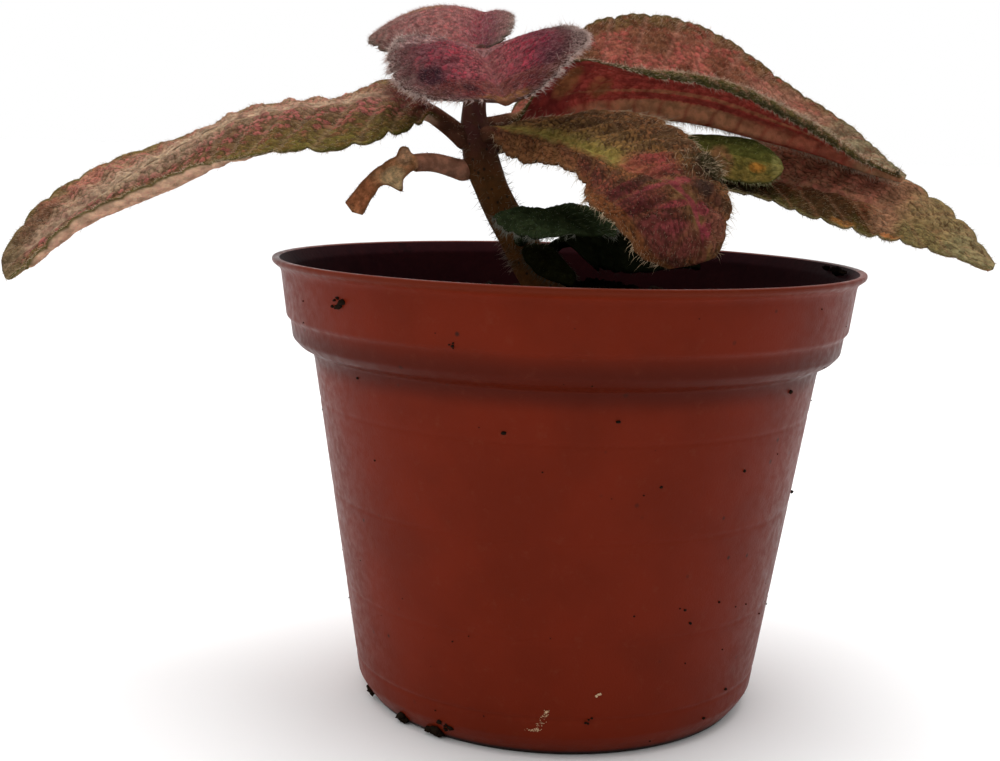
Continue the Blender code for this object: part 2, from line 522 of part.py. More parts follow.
def grow_stem(name, grow=0.0):
    """The stem and its main roots as one solid, 'grow' thicker all round."""
    points, radii = [p for p, _ in STEM], np.array([r for _, r in STEM])
    keys = np.linspace(0, 1, len(points))
    shares = np.linspace(0, 1, 2 * len(points) + 3)
    line = curve_through(keys, points, shares)
    thick = curve_through(keys, radii[:, None], shares)[:, 0] + grow
    stem = tube(name, line, thick, STEM_SIDES, STEM_COLOUR, 0.7)
    group = bpy.data.collections.new(name + "_roots")
    draw = random.Random(11)
    start = line[0] + (0, 0, ROOT_START)
    for k in range(ROOTS):
        turn = 2 * math.pi * (k + draw.uniform(-0.2, 0.2)) / ROOTS
        reach = ROOT_LENGTH * draw.uniform(0.8, 1.2)
        way = np.array((math.cos(turn), math.sin(turn), 0.0))
        path = [start + reach * (way * f + (0, 0, -ROOT_FALL * f ** 1.5)) for f in ROOT_SHARES]
        root = tube(name + "_root", path, np.array(ROOT_RADII) + grow, ROOT_SIDES, STEM_COLOUR, 0.7)
        bpy.context.scene.collection.objects.unlink(root)
        group.objects.link(root)
    join = stem.modifiers.new("roots", "BOOLEAN")
    join.operation = "UNION"
    join.operand_type = "COLLECTION"
    join.collection = group
    bpy.context.view_layer.update()
    settle(stem)
    for root in list(group.objects):
        bpy.data.objects.remove(root)
    bpy.data.collections.remove(group)
    return stem


def main():
    for item in list(bpy.data.objects):
        bpy.data.objects.remove(item)
    make_pot()
    grow_stem("stem")
    round_the_stem = [make_soil()] + [leaf(name, **shape) for name, shape in LEAVES.items()]
    for piece in round_the_stem:
        cut(piece, grow_stem("stem_room", GAP))


main()
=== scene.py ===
"""Looks of a flame violet in its plastic nursery pot.

Lengths are millimetres and angles degrees, except where a name or a comment
says otherwise. They become metres and radians where a mesh is made. Colours
are thousandths of full linear light. The frame is the part's own: the origin
is the middle of the pot's base, +Z is up, and -Y is the side that the camera
sees.
"""
import itertools
import json
import math

import bpy
import numpy as np
from mathutils import Matrix, Vector

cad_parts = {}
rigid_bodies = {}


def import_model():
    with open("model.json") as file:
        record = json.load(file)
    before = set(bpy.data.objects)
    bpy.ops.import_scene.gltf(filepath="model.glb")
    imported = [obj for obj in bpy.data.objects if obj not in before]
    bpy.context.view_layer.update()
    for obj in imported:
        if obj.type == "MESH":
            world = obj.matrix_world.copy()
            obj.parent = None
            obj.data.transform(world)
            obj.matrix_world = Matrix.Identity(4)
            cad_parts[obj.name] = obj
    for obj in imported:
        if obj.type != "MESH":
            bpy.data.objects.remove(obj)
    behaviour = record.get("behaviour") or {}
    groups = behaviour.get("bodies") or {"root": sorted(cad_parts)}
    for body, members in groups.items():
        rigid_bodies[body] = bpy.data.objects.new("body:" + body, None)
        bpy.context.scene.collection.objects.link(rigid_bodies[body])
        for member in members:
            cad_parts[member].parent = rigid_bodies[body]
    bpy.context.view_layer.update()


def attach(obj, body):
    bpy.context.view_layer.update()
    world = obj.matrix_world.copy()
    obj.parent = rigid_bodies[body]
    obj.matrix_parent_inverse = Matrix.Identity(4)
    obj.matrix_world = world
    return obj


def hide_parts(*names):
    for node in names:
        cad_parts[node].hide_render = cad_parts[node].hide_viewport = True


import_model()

MM = 0.001
PERCENT = 0.01
THOUSAND = 1000.0

# Camera, fitted to the pot's rim, collar and foot. Its angles are radians
CAMERA_AT = (0.0, -297.0, 112.8)
CAMERA_YAW = -0.0443
CAMERA_PITCH = -0.1593
CAMERA_ROLL = 0.0284
FOCAL_PIXELS = 1442.0
PICTURE_WIDTH = 1000.0
SENSOR_WIDTH = 36.0

# Light from all round, stronger the further its direction agrees with the
# slant: the lowest and highest agreement, and the strength at each. Lamps are
# given by name, place and size in metres, and power in watts
WORLD_SLANT = (-0.28, 0.52, 0.80)
WORLD_LEVELS = (-0.45, 0.75, 0.10, 1.45)
LAMPS = (("light_top", (0.05, 0.10, 0.95), 0.7, 4.0),
         ("light_front", (-0.5, -0.9, 0.7), 0.6, 0.8))
LAMP_TARGET = (0.0, 0.0, 0.08)
FLOOR_COLOUR = (900, 900, 900)
FLOOR_REACH = 40.0        # metres

# Pot, as in the frame
POT_HEIGHT = 90.5
RIM_RADIUS = 60.0
LIP_HEIGHT = 2.0
COLLAR_TOP_RADIUS = 58.2
COLLAR_BASE_RADIUS = 56.8
COLLAR_HEIGHT = 14.8
COLLAR_STEP_DROP = 11.6
BODY_TOP_RADIUS = 51.4
BODY_TOP_DROP = 19.5
BODY_FOOT_RADIUS = 41.6
FOOT_RADIUS = 38.6
FOOT_HEIGHT = 4.4
FOOT_RING_WIDTH = 4.2
HUB_RADIUS = 9.0
BASE_RECESS = 2.0
WALL = 1.3
DRAFT = 0.8
DRAIN_HOLES = 6
DRAIN_HOLE_RADIUS = 2.4
DRAIN_CIRCLE_RADIUS = 23.0
DRAIN_HOLE_SIDES = 20

# Finer shape and colouring of the pot
POT_SIDES = 200
CORNER_EASE = 0.45
WALL_LINES = (62.0, 43.5, 24.0)   # heights of the faint moulding lines round the wall
WALL_LINE_DEPTH = 0.10
FOOT_GROOVE_HEIGHT = 8.2
FOOT_GROOVE_DEPTH = 0.22
LINE_HALF_WIDTH = 0.7
LIP_HIGHLIGHT = (88.7, 89.3)           # heights between which the lip turns more orange, a painted highlight of the top-lit rim
FOOT_SOIL_AND_SHADOW = (0.6, 1.5)           # heights between which the foot's dark line of soil and painted contact shadow ends
UNDER_COLLAR = (67.0, 71.5, 75.0, 80.0)   # heights between which a darker band of painted shade lies under the collar

# Soil, as in the frame
SOIL_EDGE_HEIGHT = 80.0
SOIL_MOUND = 5.5
SOIL_MOUND_AT = (6.0, 4.0)
SOIL_MOUND_SPREAD = 17.0
SOIL_CRUMB = 0.9
GAP = 0.3

# Finer soil: its mesh, its roughness, and loose crumbs. Crumbs at the rim are
# given by the way they lie, their distance from the axis and their size
SOIL_SIDES = 180
SOIL_RINGS = 64
SOIL_ROUGHNESS = 0.28
SOIL_CRUMBS = 420
SOIL_SEED = 7
CRUMB_SIZES = (0.4, 1.3)
CRUMB_LUMPS = (0.65, 1.35)   # how far a crumb's corners lie from its middle, in its size
LONGEST_SIDE = 1.2        # of a triangle between those corners, before they are moved
RIM_CRUMB_DROP = 1.0      # below the rim
RIM_CRUMBS = ((8.0, 57.0, 1.5), (12.0, 57.6, 1.1), (15.0, 57.2, 0.8), (3.0, 56.8, 0.9))

# Dirt on the pot. A clump is the way it lies round the axis, its height, its
# size and how many crumbs it has. A speck has no size of its own
CLUMPS = ((202.0, 2.0, 1.6, 8), (222.0, 0.9, 2.0, 12), (236.0, 1.4, 2.4, 16), (240.5, 3.6, 1.4, 9),
          (225.4, 84.7, 1.6, 8), (250.5, 79.5, 0.9, 4), (279.9, 8.4, 0.8, 4))
SPECKS = ((325.6, 69.5), (313.4, 55.6), (291.6, 54.2), (312.8, 29.6), (302.0, 29.4), (304.1, 26.5),
          (323.0, 9.5), (314.8, 5.0), (281.1, 66.5), (258.4, 63.7), (222.4, 70.1), (348.9, 45.8))
SPECK_SIZE = 0.42
DIRT_SEED = 12
FINE_SPECKS = 110
FINE_SPECK_SIZES = (0.08, 0.22)
HIGH_SPECKS = 0.4         # share of the fine specks that lie anywhere up the wall
HIGHEST_SPECK = 86.0
DIRT_COLOURS = ((6, 4, 3), (22, 14, 9))

# A pale scrape near the foot, from one way round and height to another, and how
# many fine crumbs it has. Beside it are pale crumbs
SCRAPES = ((266.0, 5.8, 269.0, 10.2, 70), (264.0, 5.9, 267.6, 6.1, 40))
PALE_CRUMBS = ((281.0, 13.4, 0.32), (281.5, 13.7, 0.34), (281.9, 13.8, 0.28), (268.8, 10.0, 0.30))
SCRAPE_SPREAD = 0.45
SCRAPE_SIZES = (0.05, 0.13)
SCRAPE_COLOURS = ((420, 240, 120), (620, 460, 300))

# Stem, as in the frame but a little thicker near its top: points and radii
STEM = [
    ((-1.2, 0.5, 68.0), 3.4), ((-2.4, 0.3, 77.0), 4.6), ((-4.2, 0.0, 84.3), 4.3),
    ((-7.8, 0.0, 90.5), 3.9), ((-12.0, 0.0, 97.4), 3.5), ((-15.6, 0.0, 104.0), 3.4),
    ((-18.0, 0.0, 109.8), 3.5), ((-19.2, 0.0, 114.6), 3.3), ((-20.0, 0.0, 119.0), 2.6),
    ((-19.8, 0.0, 125.0), 2.1), ((-19.3, 0.0, 130.6), 1.9), ((-18.7, 0.0, 133.2), 0.8),
]
STEM_SIDES = 40
STEM_RINGS = 150
STEM_PURPLE = (104.0, 116.0)      # heights between which the stem turns purple
STEM_SEED = 31
STEM_HAIRS = 800
STEM_HAIR_START = 40              # the ring above which hairs grow, densest near it
STEM_HAIR_FALL = 28
STEM_HAIR_COLOUR = (240, 190, 140)

# Blades, as in the frame
BLADE_THICKNESS = 0.7
RIB_DEPTH = 0.5
BLADE_FOOT = 0.05
MARGIN_BEND = 2.5
TOOTH_HOOK = 1.25
TOOTH_FULL_WIDTH = 8.0
VEIN_SLANT = 1.2
VEIN_START = 0.25
PLEAT_SINK = 0.35
PLEAT_FULL_WIDTH = 10.0
CURL_START = 40.0
CURL_FULL = 90.0
CURL_CALM = 0.8
FINE_STEPS = 60
MIDRIB_STEPS = 201

# Finer shape of the blades and stalks
CELL_SLANT_WIDTH = 16.0   # narrower halves have bumps that slant less
CELL_LEVEL = 0.6          # height of the quilting that leaves the blade as it is
MIDRIB_GROOVE = 0.8
MIDRIB_GROOVE_WIDTH = 1.1
MARGIN_THINNING = 0.5     # share of the thickness that is lost at the margin
SMALL_TOOTH = 0.45        # height of the small teeth on the large ones
SMALL_TOOTH_WIDTH = 4.0   # narrower halves have no small teeth
CURLED_TOOTH = 0.35       # share of the teeth that is left where the margin curls up
STALK_ROOT = 2.6          # how far a stalk reaches into the stem
ROOT_RINGS = 5
STALK_FLARE = 0.10        # how much wider it is where it leaves the stem
FLARE_LENGTH = 1.5
LEAF_SEED = 100
HAIR_SEED = 500

# Finer relief of each leaf: width and height of one bump of its quilting, the
# step of its mesh, how much of the frame's pleats it keeps, and how many small
# teeth each large tooth carries
RELIEF = {
    "leaf_left": (1.4, 0.42, 0.41, 0.9, 2),
    "leaf_right_upper": (1.4, 0.32, 0.45, 0.6, 3),
    "leaf_right_lower": (1.4, 0.34, 0.46, 0.8, 2),
    "leaf_front": (0.95, 0.42, 0.4, 1, 3),
    "leaf_crown_front": (1.15, 0.24, 0.43, 0.5, 2),
    "leaf_crown_back": (1.05, 0.15, 0.48, 0.2, 2),
    "leaf_small_green": (1.3, 0.2, 0.6, 0.6, 0),
    "leaf_low_front": (1.4, 0.28, 0.6, 0.8, 0),
    "leaf_low_hanging": (1.4, 0.2, 0.8, 0.8, 0),
    "leaf_low_back": (1.4, 0.2, 0.9, 0.8, 0),
    "cut_leaf_stalk": (1, 0, 0.42, 0, 0),
}

# Places where a blade swells or sinks: place along, place across, reach along,
# reach across and height
SWELLS = {
    "leaf_front": [(0.68, 0.72, 0.045, 0.26, 2.0), (0.745, 0.95, 0.022, 0.22, -2.4),
                   (0.60, 0.90, 0.03, 0.2, -0.8), (0.86, 0.30, 0.03, 0.30, -0.7),
                   (0.93, -0.40, 0.03, 0.30, 0.7)],
    "leaf_crown_front": [(0.45, -0.50, 0.20, 0.34, 1.2), (0.40, 0.50, 0.20, 0.34, 1.0),
                         (0.70, -0.75, 0.07, 0.14, -0.6), (0.62, 0.80, 0.07, 0.12, -0.5)],
    "leaf_crown_back": [(0.45, 0.50, 0.25, 0.30, 0.8)],
    "leaf_left": [(0.30, -0.6, 0.05, 0.3, 0.8), (0.50, -0.7, 0.05, 0.3, -0.7),
                  (0.72, -0.7, 0.05, 0.3, 0.7)],
    "leaf_right_lower": [(0.45, 0.6, 0.08, 0.4, 0.8), (0.70, -0.6, 0.06, 0.4, -0.7)],
}

# Each leaf's shape, as in the frame apart from small changes after the
# photograph: its midrib from stem to tip, its blade, the share of the midrib
# that is bare stalk, the stalk's radius at both ends, the way its left half
# points at the base and at the tip, how many teeth it has and how long they
# are, and the height of the pleats between its side veins. A blade row is:
# place along the blade in percent, width of the left and of the right half,
# then the slope of the left half at the midrib and at the margin, and the same
# for the right half
LEAVES = {
    "leaf_left": dict(
        midrib=[(-21, -0.6, 115.8), (-24.6, -1.6, 118.6), (-29.5, -3.4, 121.6), (-37, -6, 123),
                (-47, -8, 121.2), (-58, -9, 119.8), (-70, -9, 116.4), (-81.8, -9, 110), (-92, -9, 103.8),
                (-102, -9, 96.6), (-109.6, -9, 90.4), (-114.6, -9, 86.2)],
        blade=[(0, 2, 2, -10, -10, 20, 20), (5, 9, 9, -20, -36, 16, 16), (14, 16, 16.5, -28, -40, 9, 9),
               (30, 19, 20, -28, -28, 3, 3), (42, 20.3, 20.5, -38, 4, 9, 8),
               (54, 19.2, 19.8, -48, 38, 10, 10), (66, 17, 18.6, -46, 42, 17, 18),
               (80, 13.4, 16.2, -40, 36, 28, 30), (91, 10.4, 11.4, -42, 10, 38, 38),
               (100, 4.6, 4.2, -46, -20, 40, 40)],
        stalk=0.07, stalk_radius=(2, 1.8), left=((0, -1, 0), (-0.1, -1, 0)), teeth=15, tooth=1.7,
        pleat=1),
    "leaf_right_upper": dict(
        midrib=[(-17.4, 1.4, 118.8), (-13, 4.6, 119.8), (-7, 9, 120.9), (1.5, 14, 122.3),
                (14.4, 20, 123.2), (27.7, 24, 122), (41.2, 27, 118.7), (55.1, 26.4, 115.1),
                (65, 22.6, 111.4), (71, 18.6, 109.4)],
        blade=[(0, 2.2, 2.2, 20, 20, 24, 20), (6, 4, 8.6, 36, 46, 46, 42),
               (12, 8.6, 14.4, 46, 54, 48, 22), (19, 14.6, 16.2, 51, 56, 46, -8),
               (28, 21, 18.2, 54, 58, 40, -38), (40, 24.4, 19.8, 55, 57, 38, -46),
               (56, 22.6, 20.5, 50, 54, 36, -52), (73, 15.2, 17, 40, 46, 32, -50),
               (88, 8.6, 10.5, 30, 34, 22, -40), (100, 2.2, 2.2, 12, 12, 8, -10)],
        stalk=0.05, stalk_radius=(2, 2.2), left=((-0.5, 1, 0), (0.3, 1, 0)), teeth=15, tooth=0.6,
        pleat=1),
    "leaf_right_lower": dict(
        midrib=[(-16.4, 2.2, 114.3), (-13, 3.8, 114.9), (-7, 6.6, 115.2), (0, 9.6, 114.6),
                (6.2, 12, 113.2), (18, 15.5, 111.2), (31, 18, 109.6), (45, 18, 107.6), (57.5, 16, 105.6),
                (71.4, 13.5, 101.2), (80.5, 10, 96.6), (87.8, 6, 91.8)],
        blade=[(0, 2, 2, 5, 5, -5, -5), (7, 9, 9, 10, 12, -8, -10), (20, 15, 16, 16, 18, -10, -12),
               (40, 18.5, 19.5, 24, 26, -9, -14), (60, 18, 18.5, 24, 28, -15, -24),
               (80, 13, 11.8, 22, 26, -19, -24), (92, 6.6, 7.2, 20, 22, -17, -20),
               (100, 2.4, 3.8, 10, 10, -10, -14)],
        stalk=0.22, stalk_radius=(1.5, 1.6), left=((-0.3, 1, 0), (0.4, 1, 0)), teeth=14, tooth=2,
        pleat=1),
    "leaf_front": dict(
        midrib=[(-17, -2.3, 116.6), (-13.6, -6, 117.2), (-9, -10.5, 116.8), (-4.8, -15, 116),
                (0.8, -22, 114.2), (7.8, -31, 111.8), (13.2, -38, 109.8), (18, -43.6, 107.8),
                (21.2, -47, 104.8), (22.6, -48.4, 100.6), (23.2, -47.9, 97), (23.2, -46.9, 94.6)],
        blade=[(0, 1.8, 1.8, 10, 10, -40, -40), (6, 4.6, 4.2, 18, 16, -46, -44),
               (16, 8.2, 6.8, 22, 20, -48, -46), (22, 11, 7.2, 26, 22, -50, -46),
               (33, 14.8, 5.8, 26, 20, -46, -40), (49, 16.6, 6.6, 22, 12, -38, -32),
               (56, 16.4, 8.6, 20, 2, -32, -30), (63, 15.8, 12, 16, -12, -24, -26),
               (73.5, 14.4, 17.6, 12, -30, -10, -14), (84, 9.6, 18.6, 2, -24, -4, -6),
               (93, 6, 13.6, -4, -20, 0, -4), (100, 3, 7, 0, -10, 0, -4)],
        stalk=0.03, stalk_radius=(1.6, 1.4), left=((0.68, 0.73, 0), (0.84, 0.54, 0)), teeth=11, tooth=1.1,
        pleat=0.9),
    "leaf_crown_front": dict(
        midrib=[(-18.3, -2.2, 131.6), (-18.1, -5, 132), (-17.2, -11, 130.2), (-15.6, -18, 127.4),
                (-13.6, -25, 124.2), (-12, -30, 121.8)],
        blade=[(0, 2, 2, 20, 20, 16, 16), (8, 13.6, 12.5, 25, 8, 16, 6), (25, 18.8, 18, 27, -3, 15, -12),
               (50, 18.6, 19, 27, -5, 9, -28), (75, 13.2, 15.6, 26, 4, 4, -30),
               (92, 7.5, 9.6, 18, 4, 0, -20), (100, 2.2, 3, 4, 0, 0, -10)],
        stalk=0.1, stalk_radius=(1.3, 1.2), left=((1, 0.1, 0), (1, 0.2, 0)), teeth=10, tooth=0.8,
        pleat=0.35),
    "leaf_crown_back": dict(
        midrib=[(-19.4, 2.2, 131.8), (-19.8, 4.6, 133), (-20.2, 9, 136), (-20.2, 15, 139.2),
                (-20, 21, 141.6), (-19.8, 26, 142.4)],
        blade=[(0, 2, 2, 0, 0, 10, 10), (8, 14, 5, -4, -24, 20, 10), (25, 22.5, 6.6, 0, -34, 24, 0),
               (50, 20.6, 6.6, 8, -42, 20, -20), (75, 13.6, 6, 12, -38, 12, -30),
               (92, 8, 5, 8, -20, 6, -20), (100, 2.4, 2.4, 0, 0, 0, 0)],
        stalk=0.1, stalk_radius=(1.3, 1.2), left=((-1, -0.2, 0), (-1, 0, 0)), teeth=10, tooth=1.2,
        pleat=0.4),
    "leaf_small_green": dict(
        midrib=[(-16, -0.6, 114.4), (-9, 0.2, 115), (4, 1.4, 115.2), (16, 2.4, 114.8), (26.2, 3, 114.4),
                (34.5, 3, 113.2), (43, 3, 111.4)],
        blade=[(0, 1.4, 1.4, 20, 20, -30, -30), (20, 5.4, 5, 18, 10, -44, -44),
               (50, 7.2, 6.4, 20, 8, -48, -48), (80, 7, 6.2, 20, 8, -44, -44),
               (94, 5.4, 5.3, 12, 4, -34, -36), (100, 3.8, 3.8, 4, 0, -20, -20)],
        stalk=0.6, stalk_radius=(1.1, 0.9), left=((0, 1, 0), (0, 1, 0.2)), teeth=6, tooth=0.5, pleat=0.4),
    "leaf_low_front": dict(
        midrib=[(-9.9, -2.8, 95.4), (-8, -6.8, 98.8), (-5.4, -10.6, 101.4), (-2, -15, 101.4),
                (1.6, -20, 100), (4.4, -24.6, 97.8)],
        blade=[(0, 1.6, 1.6, 6, 6, 6, 6), (10, 7.5, 8, 8, -8, 6, -20), (35, 13, 13, 6, -26, 0, -40),
               (65, 12, 12, 0, -40, -6, -50), (88, 7, 7.5, -8, -40, -10, -46),
               (100, 2, 2, -6, -20, -6, -20)],
        stalk=0.2, stalk_radius=(1.3, 1.2), left=((0.8, 0.6, 0), (0.8, 0.6, 0)), teeth=7, tooth=0.8,
        pleat=0.5),
    "leaf_low_hanging": dict(
        midrib=[(-8.2, -2.8, 92.6), (-6.2, -7.4, 94.2), (-3.8, -11.6, 93.2), (-1.4, -14.6, 90.6),
                (0.8, -16.6, 87.6)],
        blade=[(0, 1.2, 1.2, 6, 6, 6, 6), (18, 4, 4, -14, -30, -14, -30), (50, 5, 5, -24, -44, -24, -44),
               (80, 3.8, 3.8, -20, -40, -20, -40), (100, 1.3, 1.3, -6, -10, -6, -10)],
        stalk=0.2, stalk_radius=(1, 0.9), left=((0.8, 0.6, 0), (0.9, 0.4, 0)), teeth=4, tooth=0.5,
        pleat=0.3),
    "leaf_low_back": dict(
        midrib=[(-4.6, 3.6, 92.6), (-0.8, 4.4, 95.4), (5, 4.4, 98), (12, 3.4, 98.2), (19.6, 2, 95.4),
                (27, 0, 90.4)],
        blade=[(0, 1.6, 1.6, 6, 6, -10, -10), (8, 7, 8.5, 12, 0, -30, -40),
               (35, 11, 12.5, 14, -4, -40, -50), (65, 10.5, 12, 10, -10, -40, -50),
               (88, 6.5, 7, 4, -16, -30, -40), (100, 2, 2, 0, -6, -10, -14)],
        stalk=0.08, stalk_radius=(1.3, 1.2), left=((0, 1, 0), (0.2, 1, 0)), teeth=7, tooth=0.8,
        pleat=0.5),
    "cut_leaf_stalk": dict(
        midrib=[(-21.6, -1.6, 109), (-27.8, -4, 110.4), (-32.2, -6, 109.9), (-36, -8, 108),
                (-39.8, -9.2, 104.6), (-42.8, -10.2, 100.2)],
        blade=[(0, 2, 2, 10, 10, 10, 10), (12, 2.2, 3.2, 10, 10, 10, 20), (20, 2.6, 2, 0, 0, 10, 20),
               (30, 3.2, 1.8, 0, 0, 10, 20), (40, 5, 1.8, -10, -10, 10, 20),
               (50, 2.2, 1.8, -10, -20, 20, 30), (72, 1.8, 1.8, -10, -20, 20, 30),
               (100, 2.2, 2.2, -10, -20, 10, 10)],
        stalk=0.38, stalk_radius=(2, 1.8), left=((0.1, -0.5, -0.9), (0.35, -0.4, -0.85)), teeth=5,
        tooth=0.4, pleat=0),
}


def even_look(middle, margin):
    """Colours of a leaf whose halves are alike: those at its midrib and at its margin."""
    half = [(0, middle, middle, 50), (100, margin, margin, 50)]
    return dict(left=half, right=half, groove=middle, veins=(margin, 30), rim=margin,
                under=middle, net=margin, stalk=margin, patches=[])
